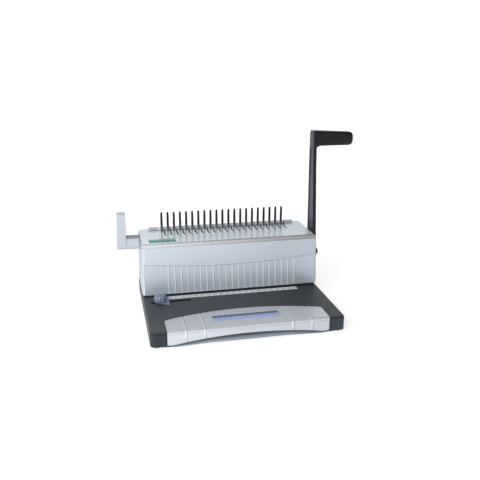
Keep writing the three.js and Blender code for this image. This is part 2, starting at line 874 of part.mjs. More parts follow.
// The lower edge of the sagging parting line above a place along the front.
function arcHeight(x) {
  const sag = arc_end_height - arc_middle_height;
  const half_chord = housing_width / 2 - window_side;
  const radius = (half_chord ** 2 + sag ** 2) / (2 * sag);
  const run = x - housing_middle;
  return arc_middle_height + radius - Math.sqrt(radius ** 2 - run ** 2);
}

function frontPanel() {
  const face = panel_setback;
  const plate = alongY(frontWindowOutline(fit_gap), face, face + front_panel_thickness);
  const lip = block(
    housing_left + window_side + lip_depth, housing_right - window_side - lip_depth,
    face - lip_depth, face + front_panel_thickness / 2, housing_bottom, housing_bottom + lip_height,
  );
  const ribs = rowPlaces(punch_first).map((x) => {
    const section = polygon([
      [x - rib_width / 2, face + fit_gap],
      [x - rib_crest_width / 2, face - rib_height],
      [x + rib_crest_width / 2, face - rib_height],
      [x + rib_width / 2, face + fit_gap],
    ]);
    return alongZ(section, rib_bottom, arcHeight(x) - rib_top_gap);
  });
  return leaning(joined(plate, lip, ...ribs));
}

function rearCover() {
  const floor = base_top + fit_gap;
  const plate = block(
    housing_left + rear_window_side + fit_gap, housing_right - rear_window_side - fit_gap,
    housing_depth - housing_wall, housing_depth - housing_wall + rear_panel_thickness,
    floor + rear_window_bottom + fit_gap, deck_top - rear_window_top - fit_gap,
  );
  const middle_height = (floor + deck_top) / 2;
  const vents = [];
  for (let column = 0; column < vent_columns; column += 1) {
    for (let row = 0; row < vent_rows; row += 1) {
      const x = housing_middle + (column - (vent_columns - 1) / 2) * vent_column_pitch;
      const z = middle_height + (row - (vent_rows - 1) / 2) * vent_pitch;
      vents.push(block(
        x - vent_width / 2, x + vent_width / 2, housing_depth - housing_wall - overrun,
        housing_depth + overrun, z - vent_height / 2, z + vent_height / 2,
      ));
    }
  }
  return cut(plate, ...vents);
}

function labelPlate() {
  const bottom = deck_top - label_recess + fit_gap;
  return block(
    label_left, label_left + label_width, label_front, label_front + label_depth,
    bottom, bottom + label_thickness,
  );
}

function rearLedge() {
  const outline = roundedRectangle(
    housing_left + ledge_inset, housing_right - ledge_inset,
    ledge_front, ledge_front + ledge_depth, ledge_depth / 2 - fit_gap,
  );
  return alongZ(outline, deck_top + fit_gap, deck_top + ledge_height, ledge_edge_radius, 2, 3);
}

// Frame and punch

function sideFrame(left) {
  const outline = roundedRectangle(
    frame_front, frame_back, base_top + fit_gap, frame_top, frame_corner_radius,
  );
  const slot_half = bar_depth / 2 + running_gap;
  const reach = [left - overrun, left + frame_thickness + overrun];
  return cut(
    alongX(outline, left, left + frame_thickness, 0, 1, 3),
    rodX(...reach, pivot_y, pivot_z, bush_radius + fit_gap),
    rodX(...reach, lever_y, lever_z, lever_shaft_radius + running_gap),
    rodX(...reach, tie_bar_y, tie_bar_z, tie_bar_radius + fit_gap),
    block(
      ...reach, punch_y - slot_half, punch_y + slot_half,
      bar_bottom - stroke - running_gap, bar_bottom + bar_height + running_gap,
    ),
  );
}

function diePlate() {
  const plate = block(
    punch_row_middle - die_length / 2, punch_row_middle + die_length / 2,
    punch_y - die_depth / 2, punch_y + die_depth / 2, die_top - die_thickness, die_top,
  );
  return cut(plate, ...pinHoles(die_top - die_thickness - overrun, die_top + overrun));
}

function pinHoles(bottom, top) {
  const half_width = pin_width / 2 + fit_gap;
  const half_depth = pin_depth / 2 + fit_gap;
  return rowPlaces(punch_first).map((x) => block(
    x - half_width, x + half_width, punch_y - half_depth, punch_y + half_depth, bottom, top,
  ));
}

// The guide holds the pins upright above the paper; its rear leg is the paper stop.
function punchGuide() {
  const left = frame_left + frame_thickness + fit_gap;
  const right = frame_right - frame_thickness - fit_gap;
  const back = punch_y + die_depth / 2;
  const front = housing_wall + panel_setback + running_gap;
  const bar = block(left, right, front, back, housing_bottom, housing_bottom + guide_height);
  const stop = block(
    left, right, paper_stop_y, back, base_top + fit_gap, housing_bottom + guide_height,
  );
  const holes = pinHoles(housing_bottom - overrun, housing_bottom + guide_height + overrun);
  return cut(joined(bar, stop), ...holes);
}

// The punch bar with its row of pins, whose ends are ground hollow so that they cut from
// both sides of a hole towards its middle.
function punchBar() {
  const bar = block(
    frame_left - bar_overhang, frame_right + bar_overhang,
    punch_y - bar_depth / 2, punch_y + bar_depth / 2, bar_bottom, bar_bottom + bar_height,
  );
  const pins = rowPlaces(punch_first).map((x) => alongY(
    polygon([
      [x - pin_width / 2, pin_bottom],
      [x, pin_bottom + pin_clearance],
      [x + pin_width / 2, pin_bottom],
      [x + pin_width / 2, bar_bottom + overrun],
      [x - pin_width / 2, bar_bottom + overrun],
    ]),
    punch_y - pin_depth / 2, punch_y + pin_depth / 2,
  ));
  return joined(bar, ...pins);
}

// Straight rack teeth along the second axis, with a gap between two teeth at zero.
function rackTeeth(module, pitch_line, body_line, addendum, dedendum, low, high) {
  const tooth_pitch = half_turn * module;
  const side = Math.sign(pitch_line - body_line);
  const tip = pitch_line + side * addendum;
  const root = pitch_line - side * dedendum;
  const slope = Math.tan(pressure_angle);
  const half_tooth = tooth_pitch / 4 - backlash / 2;
  const points = [[body_line, low], [root, low]];
  const first = Math.ceil(low / tooth_pitch + 1 / 2) - 1 / 2;
  for (let place = first * tooth_pitch; place < high - tooth_pitch / 2; place += tooth_pitch) {
    if (place > low + tooth_pitch / 2) {
      points.push(
        [root, place - half_tooth - slope * dedendum],
        [tip, place - half_tooth + slope * addendum],
        [tip, place + half_tooth - slope * addendum],
        [root, place + half_tooth + slope * dedendum],
      );
    }
  }
  points.push([root, high], [body_line, high]);
  return points;
}

// An involute pinion with one tooth pointing along the first axis.
function pinionOutline(module, teeth, addendum, dedendum) {
  const radius = module * teeth / 2;
  const base_radius = radius * Math.cos(pressure_angle);
  const involute = (angle) => Math.tan(angle) - angle;
  const pitch_half_angle = half_turn / (2 * teeth) - backlash / (2 * radius) / 2;
  const halfAngle = (at) => pitch_half_angle + involute(pressure_angle)
    - involute(Math.acos(Math.min(1, base_radius / at)));
  const flank_shares = [0, 1];
  const flank_start = Math.max(base_radius, radius - dedendum);
  const flank_end = radius + addendum;
  const points = [];
  for (let tooth = 0; tooth < teeth; tooth += 1) {
    const middle = full_turn * tooth / teeth;
    const flank = flank_shares.map((share) => {
      const at = flank_start + share * (flank_end - flank_start);
      return [at, halfAngle(at)];
    });
    const root = [radius - dedendum, halfAngle(flank_start)];
    const side = [root, ...flank];
    for (const [at, half] of side) {
      points.push([at * Math.cos(middle - half), at * Math.sin(middle - half)]);
    }
    for (const [at, half] of side.reverse()) {
      points.push([at * Math.cos(middle + half), at * Math.sin(middle + half)]);
    }
  }
  return polygon(points);
}

// A rack behind the punch bar, facing the drive shaft.
function punchRack(middle) {
  const body_line = punch_y + bar_depth / 2 + fit_gap;
  const pitch_line = pivot_y - drive_pitch_radius;
  const low = bar_bottom - pivot_z;
  const points = rackTeeth(
    drive_module, pitch_line, body_line, drive_addendum, drive_dedendum, low, low + rack_height,
  );
  const outline = polygon(points.map(([y, z]) => [y, pivot_z + z]));
  return alongX(outline, middle - rack_width / 2, middle + rack_width / 2);
}

// Drive shaft and handle, drawn about the shaft's axis

function pinion(outline, middle, width, bore) {
  const body = alongX(outline, middle - width / 2, middle + width / 2);
  return cut(body, rodX(middle - width, middle + width, 0, 0, bore));
}

function shaftBush(plate_left, facing) {
  const plate_right = plate_left + frame_thickness;
  const flange_start = facing > 0 ? plate_right + fit_gap : plate_left - fit_gap;
  const flange_end = flange_start + facing * bush_flange_thickness;
  const sleeve = rodX(
    Math.min(plate_left, flange_end), Math.max(plate_right, flange_end), 0, 0, bush_radius,
  );
  const flange = rodX(
    Math.min(flange_start, flange_end), Math.max(flange_start, flange_end), 0, 0, bush_flange_radius,
  );
  const bore = rodX(plate_left - overrun * 2, plate_right + overrun * 2, 0, 0,
    drive_shaft_radius + fit_gap);
  return cut(joined(sleeve, flange), bore);
}

// A torsion spring round the shaft: one leg stands on the frame, the other on the pinion.
function returnSpring() {
  const frame_face = frame_right - frame_thickness;
  const pinion_face = frame_right - rack_inset + drive_pinion_width / 2;
  const start_x = frame_face - spring_offset;
  const steps = spring_coils * spring_steps_per_turn;
  const points = [new THREE.Vector3(frame_face - fit_gap, spring_radius, 0)];
  for (let i = 0; i <= steps; i += 1) {
    const angle = full_turn * i / spring_steps_per_turn;
    points.push(new THREE.Vector3(
      start_x - spring_length * i / steps,
      spring_radius * Math.cos(angle),
      -spring_radius * Math.sin(angle),
    ));
  }
  const end_x = pinion_face + fit_gap + spring_wire_radius;
  points.push(new THREE.Vector3(end_x, drive_pitch_radius, -spring_wire_radius));
  const section = new THREE.Shape();
  section.absarc(0, 0, spring_wire_radius, 0, full_turn, false);
  return new THREE.ExtrudeGeometry(section, {
    steps: points.length - 1,
    curveSegments: spring_wire_sides / 2,
    bevelEnabled: false,
    extrudePath: new THREE.CatmullRomCurve3(points),
  });
}

// The arm's outline from the side, about the pivot; margin insets it for the channel.
function armOutline(margin) {
  const top = arm_height - margin;
  const radius = arm_top_radius;
  const boss = arm_boss_radius - margin;
  const shape = new THREE.Shape();
  shape.moveTo(arm_back_low - margin, arm_low_height);
  shape.lineTo(arm_back_high - margin, arm_high_height);
  shape.lineTo(arm_back_top - margin, top - radius);
  shape.absarc(arm_back_top - margin - radius, top - radius, radius, 0, quarter_turn, false);
  shape.lineTo(arm_front_top + margin + radius, top);
  shape.absarc(arm_front_top + margin + radius, top - radius, radius, quarter_turn, half_turn, false);
  shape.lineTo(arm_front_high + margin, arm_high_height);
  shape.lineTo(arm_front_low + margin, arm_low_height);
  shape.absarc(0, 0, boss, half_turn, full_turn, false);
  return shape;
}

function channelOutline() {
  const margin = arm_channel_margin;
  return polygon([
    [arm_back_low - margin, arm_low_height],
    [arm_back_high - margin, arm_high_height],
    [arm_back_top - margin, arm_height - grip_height - margin],
    [arm_front_top + margin, arm_height - grip_height - margin],
    [arm_front_high + margin, arm_high_height],
    [arm_front_low + margin, arm_low_height],
  ]);
}

function handleArm() {
  const right = arm_left + arm_thickness;
  const channel = channelOutline();
  return cut(
    alongX(armOutline(0), arm_left, right, arm_edge_radius, 2, 5),
    alongX(channel, arm_left - overrun, arm_left + arm_channel_depth),
    alongX(channel, right - arm_channel_depth, right + overrun),
    rodX(arm_left - overrun, right + overrun, 0, 0, drive_shaft_radius + fit_gap),
  );
}

// The grip is screwed to the arm's outer face; a fillet under it carries the load.
function handleGrip() {
  const left = arm_left + arm_thickness + fit_gap;
  const right = left + grip_length;
  const top = arm_height;
  const low = top - grip_height;
  const fillet = grip_fillet_radius;
  const end = grip_end_radius;
  const bar = new THREE.Shape();
  bar.moveTo(left, low);
  bar.lineTo(right - end, low);
  bar.absarc(right - end, low + end, end, -quarter_turn, 0, false);
  bar.lineTo(right, top - grip_end_drop - end);
  bar.absarc(right - end, top - grip_end_drop - end, end, 0, quarter_turn, false);
  bar.lineTo(left, top);
  const gusset = new THREE.Shape();
  gusset.moveTo(left, low - fillet);
  gusset.absarc(left + fillet, low - fillet, fillet, half_turn, quarter_turn, true);
  gusset.lineTo(left + fillet, low + grip_edge_radius);
  gusset.lineTo(left, low + grip_edge_radius);
  const middle = (arm_front_top + arm_back_top) / 2;
  const half_depth = grip_depth / 2;
  const half_web = half_depth - grip_edge_radius;
  return joined(
    alongY(bar, middle - half_depth, middle + half_depth, grip_edge_radius, 3, 5),
    alongY(gusset, middle - half_web, middle + half_web, 0, 1, 5),
  );
}

function pivotCap() {
  const left = arm_left + arm_thickness + fit_gap;
  const body = new THREE.Path();
  body.moveTo(0, 0);
  body.lineTo(cap_radius, 0);
  body.lineTo(cap_radius, cap_height / 2);
  body.quadraticCurveTo(cap_radius, cap_height, 0, cap_height);
  const dome = new THREE.LatheGeometry(body.getPoints(3), 18);
  dome.rotateZ(-quarter_turn);
  dome.translate(left, 0, 0);
  const socket_end = arm_left + arm_thickness + shaft_end_reach + fit_gap;
  return cut(dome, rodX(left - overrun, socket_end, 0, 0, drive_shaft_radius + fit_gap));
}

function handleWasher() {
  const right = arm_left - fit_gap;
  const disc = rodX(right - washer_thickness, right, 0, 0, washer_radius);
  return cut(disc, rodX(right - washer_thickness - overrun, right + overrun, 0, 0,
    drive_shaft_radius + fit_gap));
}

// Comb opener

// A stamped plate under the deck with its row of fingers standing up through it.
function fingerPlate() {
  const front = finger_y - finger_base_depth / 2;
  const top = deck_underside - fit_gap;
  const half_length = (hole_count - 1) * pitch / 2 + finger_flange_end;
  const flange = block(
    finger_row_middle - half_length, finger_row_middle + half_length,
    front, front + finger_flange_depth, top - finger_flange_thickness, top,
  );
  const foot_z = top - finger_flange_thickness / 2;
  const tip_z = deck_top + finger_tip_height;
  const fingers = rowPlaces(finger_first).map((x) => {
    const face = polygon([
      [x - finger_base_width / 2, foot_z],
      [x + finger_base_width / 2, foot_z],
      [x + finger_base_width / 2, deck_top],
      [x + finger_tip_width / 2, tip_z - finger_tip_taper],
      [x + finger_tip_width / 4, tip_z],
      [x - finger_tip_width / 4, tip_z],
      [x - finger_tip_width / 2, tip_z - finger_tip_taper],
      [x - finger_base_width / 2, deck_top],
    ]);
    const finger = alongY(face, front, front + finger_base_depth);
    return thinned(finger, front);
  });
  return joined(flange, ...fingers);
}

// Tapers a finger's back from its full depth at the deck to its tip depth.
function thinned(geometry, front) {
  const position = geometry.attributes.position;
  for (let i = 0; i < position.count; i += 1) {
    const rise = Math.max(0, position.getZ(i) - deck_top) / finger_tip_height;
    const depth = 1 - rise * (1 - finger_tip_depth / finger_base_depth);
    position.setY(i, front + (position.getY(i) - front) * depth);
  }
  return geometry;
}

// The sliding plate: hooks along its back edge and a rack under each end.
function hookPlate() {
  const back = hook_plate_back;
  const bottom = hook_plate_top - hook_plate_thickness;
  const [left_rack, right_rack] = hookRackMiddles();
  const half_rack = hook_rack_width / 2;
  const plate = block(
    left_rack - half_rack, right_rack + half_rack, hook_plate_front, back, bottom, hook_plate_top,
  );
  const racks = [left_rack, right_rack].map((middle) => {
    const points = rackTeeth(
      lever_module, hook_pitch_height, hook_plate_top, lever_addendum,
      hook_plate_top - hook_pitch_height - hook_plate_thickness, hook_plate_front - lever_y,
      hook_rack_back - lever_y,
    );
    const outline = polygon(points.map(([z, y]) => [lever_y + y, z]));
    return alongX(outline, middle - half_rack, middle + half_rack);
  });
  const hooks = rowPlaces(finger_first).map((x) => {
    const top = deck_top + hook_height;
    const front = back - hook_stem_depth;
    const side = polygon([
      [back, bottom],
      [back, top - hook_nose_height / 2],
      [back - hook_nose_height / 2, top],
      [front - hook_nose, top],
      [front - hook_nose, top - hook_nose_height],
      [front, top - hook_nose_height],
      [front, bottom],
    ]);
    return alongX(side, x + hook_shift - hook_width / 2, x + hook_shift + hook_width / 2);
  });
  return joined(plate, ...racks, ...hooks);
}

function hookRackMiddles() {
  return [frame_left + hook_rack_inset, frame_right - hook_rack_inset];
}

// Lever: an upright arm and a hub that reaches the housing's side, drawn about its axis.
// The lever's arm is narrower at its top, where its outer face leans in.
function narrowed(arm, arm_right) {
  const position = arm.getAttribute('position');
  for (let i = 0; i < position.count; i += 1) {
    const x = position.getX(i);
    const height = Math.max(position.getZ(i), 0);
    const lean = lever_narrowing * (height / lever_reach) * (arm_right - x) / lever_width;
    position.setX(i, x + lean);
  }
  return arm;
}

function combLever() {
  const arm_right = lever_left + lever_width;
  const side = new THREE.Shape();
  const half_top = lever_top_depth / 2;
  side.moveTo(lever_hub_radius, 0);
  side.lineTo(half_top, lever_reach - lever_top_radius);
  side.absarc(half_top - lever_top_radius, lever_reach - lever_top_radius, lever_top_radius,
    0, quarter_turn, false);
  side.lineTo(-half_top + lever_top_radius, lever_reach);
  side.absarc(-half_top + lever_top_radius, lever_reach - lever_top_radius, lever_top_radius,
    quarter_turn, half_turn, false);
  side.lineTo(-lever_hub_radius, 0);
  side.absarc(0, 0, lever_hub_radius, half_turn, full_turn, false);
  const hub_end = housing_left + wallInset(lever_z) - lever_hub_gap;
  const hub = roundedRectangle(
    -half_top, half_top, -lever_hub_radius, lever_hub_rise, half_top - lever_edge_radius,
  );
  return cut(
    joined(
      narrowed(alongX(side, lever_left, arm_right, lever_edge_radius, 2, 4), arm_right),
      alongX(hub, arm_right - overrun, hub_end, 0, 1, 5),
    ),
    rodX(arm_right - lever_socket_depth, hub_end + overrun, 0, 0, lever_shaft_radius + fit_gap),
  );
}

// Assembly

function baseGroup() {
  return groupOf(
    piece('base_shell', baseShell(), finishes.charcoal_plastic),
    piece('bottom_plate', bottomPlate(), finishes.charcoal_plastic),
    ...feet(),
    piece('scale_strip', scaleStrip(), finishes.scale_white),
  );
}

function drawerGroup() {
  return groupOf(
    piece('chip_tray', chipTray(), finishes.tray_plastic),
    piece('drawer_front', drawerFront(), finishes.panel_silver),
    piece('size_gauge', sizeGauge(), finishes.gauge_blue),
  );
}

function guideGroup() {
  const group = groupOf(
    piece('edge_guide', edgeGuide(), finishes.guide_plastic),
    piece('guide_knob', guideKnob(), finishes.guide_plastic),
    piece('clamp_stud', clampStud(), finishes.bright_steel),
  );
  group.position.set(guide_x, guide_slot_y, base_top);
  return group;
}

function housingGroup() {
  return groupOf(
    piece('top_cover', topCover(), finishes.silver_plastic),
    piece('front_panel', frontPanel(), finishes.silver_plastic),
    piece('rear_cover', rearCover(), finishes.silver_plastic),
    piece('label_plate', labelPlate(), finishes.label_green),
    piece('rear_ledge', rearLedge(), finishes.silver_plastic),
  );
}

function frameGroup() {
  return groupOf(
    piece('side_frame_left', sideFrame(frame_left), finishes.bright_steel),
    piece('side_frame_right', sideFrame(frame_right - frame_thickness), finishes.bright_steel),
    piece(
      'tie_bar', rodX(frame_left, frame_right, tie_bar_y, tie_bar_z, tie_bar_radius),
      finishes.bright_steel,
    ),
    piece('die_plate', diePlate(), finishes.bright_steel),
    piece('punch_guide', punchGuide(), finishes.bright_steel),
  );
}

function punchGroup() {
  return groupOf(
    piece('punch_bar', punchBar(), finishes.bright_steel),
    piece('punch_rack_left', punchRack(frame_left + rack_inset), finishes.bright_steel),
    piece('punch_rack_right', punchRack(frame_right - rack_inset), finishes.bright_steel),
  );
}

function handleGroup() {
  const outline = pinionOutline(drive_module, drive_teeth, drive_addendum, drive_dedendum);
  const bore = drive_shaft_radius + fit_gap;
  const shaft_left = frame_left - running_gap;
  const shaft_right = arm_left + arm_thickness + shaft_end_reach;
  const group = groupOf(
    piece(
      'drive_shaft', rodX(shaft_left, shaft_right, 0, 0, drive_shaft_radius), finishes.bright_steel,
    ),
    piece(
      'drive_pinion_left', pinion(outline, frame_left + rack_inset, drive_pinion_width, bore),
      finishes.bright_steel,
    ),
    piece(
      'drive_pinion_right', pinion(outline, frame_right - rack_inset, drive_pinion_width, bore),
      finishes.bright_steel,
    ),
    piece('shaft_bush_left', shaftBush(frame_left, 1), finishes.brass),
    piece('shaft_bush_right', shaftBush(frame_right - frame_thickness, -1), finishes.brass),
    piece('return_spring', returnSpring(), finishes.bright_steel),
    piece('handle_arm', handleArm(), finishes.handle_metal),
    piece('handle_grip', handleGrip(), finishes.grip_plastic),
    piece('pivot_cap', pivotCap(), finishes.grip_plastic),
    piece('handle_washer', handleWasher(), finishes.grip_plastic),
  );
  group.position.set(0, pivot_y, pivot_z);
  return group;
}

function openerGroup() {
  return groupOf(
    piece('finger_plate', fingerPlate(), finishes.black_steel),
    piece('hook_plate', hookPlate(), finishes.black_steel),
  );
}

function leverGroup() {
  const outline = pinionOutline(lever_module, lever_teeth, lever_addendum, lever_dedendum);
  const [left_rack, right_rack] = hookRackMiddles();
  const bore = lever_shaft_radius + fit_gap;
  const shaft_left = lever_left + lever_width - lever_socket_depth + fit_gap;
  const group = groupOf(
    piece(
      'lever_shaft', rodX(shaft_left, frame_right, 0, 0, lever_shaft_radius), finishes.bright_steel,
    ),
    piece(
      'lever_pinion_left', pinion(outline, left_rack, lever_pinion_width, bore),
      finishes.bright_steel,
    ),
    piece(
      'lever_pinion_right', pinion(outline, right_rack, lever_pinion_width, bore),
      finishes.bright_steel,
    ),
    piece('comb_lever', combLever(), finishes.lever_plastic),
  );
  group.position.set(0, lever_y, lever_z);
  return group;
}

const machine = groupOf(
  baseGroup(),
  drawerGroup(),
  guideGroup(),
  housingGroup(),
  frameGroup(),
  punchGroup(),
  handleGroup(),
  openerGroup(),
  leverGroup(),
);

// The origin goes under the middle of the whole machine, on the desk.
const bounds = new THREE.Box3().setFromObject(machine, true);
machine.position.set(
  -(bounds.min.x + bounds.max.x) / 2,
  -(bounds.min.y + bounds.max.y) / 2,
  -bounds.min.z,
);

export default machine;
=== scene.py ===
"""Looks of the comb binding machine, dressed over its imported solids. Metres, +Z up."""

import json
import math

import bmesh
import bpy
from mathutils import Matrix, Vector

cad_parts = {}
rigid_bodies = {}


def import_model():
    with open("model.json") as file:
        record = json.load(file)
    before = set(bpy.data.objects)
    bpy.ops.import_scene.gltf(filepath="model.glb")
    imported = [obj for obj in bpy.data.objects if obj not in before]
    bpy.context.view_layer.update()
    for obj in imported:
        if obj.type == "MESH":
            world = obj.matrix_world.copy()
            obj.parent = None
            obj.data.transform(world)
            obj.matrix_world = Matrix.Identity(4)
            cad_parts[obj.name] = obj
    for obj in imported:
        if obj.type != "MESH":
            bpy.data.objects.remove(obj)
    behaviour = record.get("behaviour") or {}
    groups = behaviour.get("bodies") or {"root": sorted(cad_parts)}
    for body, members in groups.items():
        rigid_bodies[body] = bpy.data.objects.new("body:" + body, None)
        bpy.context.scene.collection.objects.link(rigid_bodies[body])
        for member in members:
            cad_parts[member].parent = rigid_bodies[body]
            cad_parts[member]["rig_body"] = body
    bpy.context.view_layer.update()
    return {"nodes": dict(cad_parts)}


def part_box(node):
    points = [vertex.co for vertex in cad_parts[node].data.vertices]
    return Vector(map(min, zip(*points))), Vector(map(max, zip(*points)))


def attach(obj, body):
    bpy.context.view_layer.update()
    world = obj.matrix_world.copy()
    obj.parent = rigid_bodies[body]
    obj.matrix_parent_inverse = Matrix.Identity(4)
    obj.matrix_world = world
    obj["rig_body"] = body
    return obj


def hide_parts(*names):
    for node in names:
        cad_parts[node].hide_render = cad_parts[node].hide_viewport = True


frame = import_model()

MM = 0.001

# Measures in millimetres, in the frame
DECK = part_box("top_cover")[1].z / MM  # height of the housing's deck
ON_DECK = DECK - 1.2  # what is higher than this belongs to the deck
PITCH = 14.2875  # from one finger to the next
HOLES = 21  # in the punch row, and as many fingers and hooks
STRIP_DEPTH = 6.5  # of the strip along the deck's front edge
LABEL_INSET = 17  # from the deck's front edge to the label
WALL_DRAFT = 2.5  # how far a side wall leans in at the deck
HUB_TOP = 146.5  # height of the top of the lever's hub
HUB_START = 22  # from the lever's outer face to its hub
GROOVES = (-125.6, -88.6, 90.4, 130.4)  # the panel's upright grooves, from its middle
SHOWN_BOTTOM = 3.4  # height of the base's lower edge as it is shown


def spot(x, y, z):
    """A place given in millimetres in the frame."""
    return Vector((x, y, z)) * MM


def sides(node):
    """A node's box in millimetres: left, right, front, back, bottom and top."""
    low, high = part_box(node)
    return tuple(value / MM for value in (low.x, high.x, low.y, high.y, low.z, high.z))


# Materials


class Flow:
    """What a node gives, as a value that sums can be written with."""

    def __init__(self, bench, socket):
        self.bench = bench
        self.socket = socket

    def apply(self, operation, *terms):
        return self.bench.node("ShaderNodeMath", {"operation": operation}, dict(enumerate(terms)))

    def __add__(self, other):
        return self.apply("ADD", self, other)

    def __radd__(self, other):
        return self.apply("ADD", other, self)

    def __sub__(self, other):
        return self.apply("SUBTRACT", self, other)

    def __rsub__(self, other):
        return self.apply("SUBTRACT", other, self)

    def __mul__(self, other):
        return self.apply("MULTIPLY", self, other)

    def __rmul__(self, other):
        return self.apply("MULTIPLY", other, self)

    def __truediv__(self, other):
        return self.apply("DIVIDE", self, other)

    def __pow__(self, other):
        return self.apply("POWER", self, other)

    def __lt__(self, other):
        return self.apply("LESS_THAN", self, other)

    def __gt__(self, other):
        return self.apply("GREATER_THAN", self, other)

    def __abs__(self):
        return self.apply("ABSOLUTE", self)

    def fraction(self):
        return self.apply("FRACT", self)

    def at_most(self, limit):
        return self.apply("MINIMUM", self, limit)


class Bench:
    """A node tree under construction, for a finish or for the studio's surroundings."""

    def __init__(self, tree):
        self.tree = tree
        tree.nodes.clear()

    def node(self, kind, settings=(), feeds=(), output=0):
        """Adds a node: its settings first, then the values or flows of its sockets."""
        made = self.tree.nodes.new(kind)
        for name, value in dict(settings).items():
            setattr(made, name, value)
        for name, value in dict(feeds).items():
            if isinstance(value, Flow):
                self.tree.links.new(value.socket, made.inputs[name])
            else:
                made.inputs[name].default_value = value
        return Flow(self, made.outputs[output]) if len(made.outputs) else None

    def place(self):
        return self.node("ShaderNodeTexCoord", output="Object")

    def axis(self, name):
        """The x, y or z of a point, in millimetres."""
        return self.node("ShaderNodeSeparateXYZ", feeds={0: self.place()}, output=name) / MM

    def grain(self, size, detail=2.0, stretch=(1, 1, 1)):
        """Noise from 0 to 1 whose spots are about size millimetres wide."""
        scale = [share / (size * MM) for share in stretch]
        scaled = self.node("ShaderNodeMapping", feeds={"Vector": self.place(), "Scale": scale})
        return self.node("ShaderNodeTexNoise", feeds={"Vector": scaled, "Scale": 1.0, "Detail": detail})

    def ease(self, value, low, high, start=0.0, end=1.0):
        """Runs smoothly from start to end while value runs from low to high."""
        return self.node(
            "ShaderNodeMapRange", {"interpolation_type": "SMOOTHSTEP"},
            {"Value": value, "From Min": low, "From Max": high, "To Min": start, "To Max": end},
        )

    def band(self, value, low, high, soft):
        """1 between low and high, 0 outside, with soft edges."""
        rise = self.ease(value, low - soft, low + soft)
        return rise * self.ease(value, high - soft, high + soft, 1.0, 0.0)

    def blend(self, share, first, second):
        """A colour between two colours."""
        return self.node(
            "ShaderNodeMix", {"data_type": "RGBA"}, {0: share, 6: first, 7: second}, output=2
        )

    def repeat(self, value, start, step):
        """How far a value is from the nearest of evenly spaced places, in its own unit."""
        turned = (value - (start - step / 2)) / step
        return abs(turned.fraction() - 0.5) * step


class Finish(Bench):
    """A material for one of the record's slots."""

    def __init__(self, name, slot):
        self.material = bpy.data.materials.new(name)
        self.material.use_nodes = True
        super().__init__(self.material.node_tree)
        self.slot = slot

    def skin(self, sockets, relief=None, depth=0.0):
        """The shader itself; relief is the height of its fine surface in shares of depth, in mm."""
        sockets = dict(sockets)
        if relief is not None:
            sockets["Normal"] = self.node(
                "ShaderNodeBump", feeds={"Height": relief, "Distance": depth * MM, "Strength": 1.0}
            )
        shader = self.node("ShaderNodeBsdfPrincipled", feeds=sockets)
        self.node("ShaderNodeOutputMaterial", feeds={"Surface": shader})
        return self


def paint(r, g, b):
    """A colour as it shows on a screen, 0 to 255, as the renderer's own numbers."""
    def straight(part):
        part = part / 255
        return part / 12.92 if part <= 0.04045 else ((part + 0.055) / 1.055) ** 2.4
    return (straight(r), straight(g), straight(b), 1.0)


def toned(colour, share):
    """A colour with each part multiplied by share."""
    return tuple(min(1.0, part * share) for part in colour[:3]) + (1.0,)


HOUSING_SILVER = paint(208, 218, 229)
# the colour that painted shade on the silver finishes blends towards
PAINTED_SHADE_SILVER = paint(110, 118, 128)


def moulded(name, slot, colour, rough, spread, grain_size, depth=0.012, more=(), drawn=None):
    """Moulded plastic: a fine grain, and faint clouding where the melt cooled."""
    finish = Finish(name, slot)
    cloud = finish.grain(45, 3.0)
    fine = finish.grain(grain_size, 2.0)
    shade = finish.blend(cloud, toned(colour, 1 - spread), toned(colour, 1 + spread))
    sockets = {
        "Base Color": drawn(finish, shade) if drawn else shade,
        "Roughness": rough + 0.08 * (fine - 0.5) + 0.06 * (cloud - 0.5),
        **dict(more),
    }
    return finish.skin(sockets, fine, depth)


def silver_paint(name, slot, colour, rough, metallic, coat, drawn=None):
    """Metallic paint on plastic: fine flakes and a slight orange peel."""
    finish = Finish(name, slot)
    cloud = finish.grain(70, 2.0)
    flake = finish.grain(0.35, 1.0)
    peel = finish.grain(2.6, 2.0)
    shade = finish.blend(0.35 * cloud + 0.65 * flake, toned(colour, 0.93), toned(colour, 1.06))
    sockets = {
        "Base Color": drawn(finish, shade) if drawn else shade,
        "Metallic": metallic + 0.2 * (flake - 0.5),
        "Roughness": rough + 0.10 * (flake - 0.5) + 0.05 * (cloud - 0.5),
        "Coat Weight": coat(finish) if callable(coat) else coat,
        "Coat Roughness": 0.1,
    }
    return finish.skin(sockets, peel, 0.01)


def steel(name, slot, colour, rough, stretch, metallic=1.0):
    """Rolled steel with fine brushing along one way."""
    finish = Finish(name, slot)
    brushed = finish.grain(0.25, 3.0, stretch)
    stain = finish.grain(22, 4.0)
    sockets = {
        "Base Color": finish.blend(0.5 * stain + 0.5 * brushed, toned(colour, 0.8), colour),
        "Metallic": metallic,
        "Roughness": rough + 0.16 * (brushed - 0.5) + 0.12 * (stain - 0.5),
    }
    return finish.skin(sockets, brushed, 0.006)


# What is drawn on the painted and moulded finishes, much of it painted light and shade: from a
# finish and its plain shade, each of the functions that take a shade gives the shade with its lines,
# tones, painted highlights and painted shade


def on_left_wall(finish):
    """1 on the cover's left wall, which leans in towards the deck."""
    left, _, _, _, low, _ = sides("top_cover")
    x, z = finish.axis("X"), finish.axis("Z")
    return x - WALL_DRAFT * (z - low) / (DECK - low) < left + 1


def cover_coat(finish):
    """The clear coat of the cover: most on the deck, hardly any on the left wall."""
    return 0.45 + 0.4 * (finish.axis("Z") > ON_DECK) - 0.4 * on_left_wall(finish)


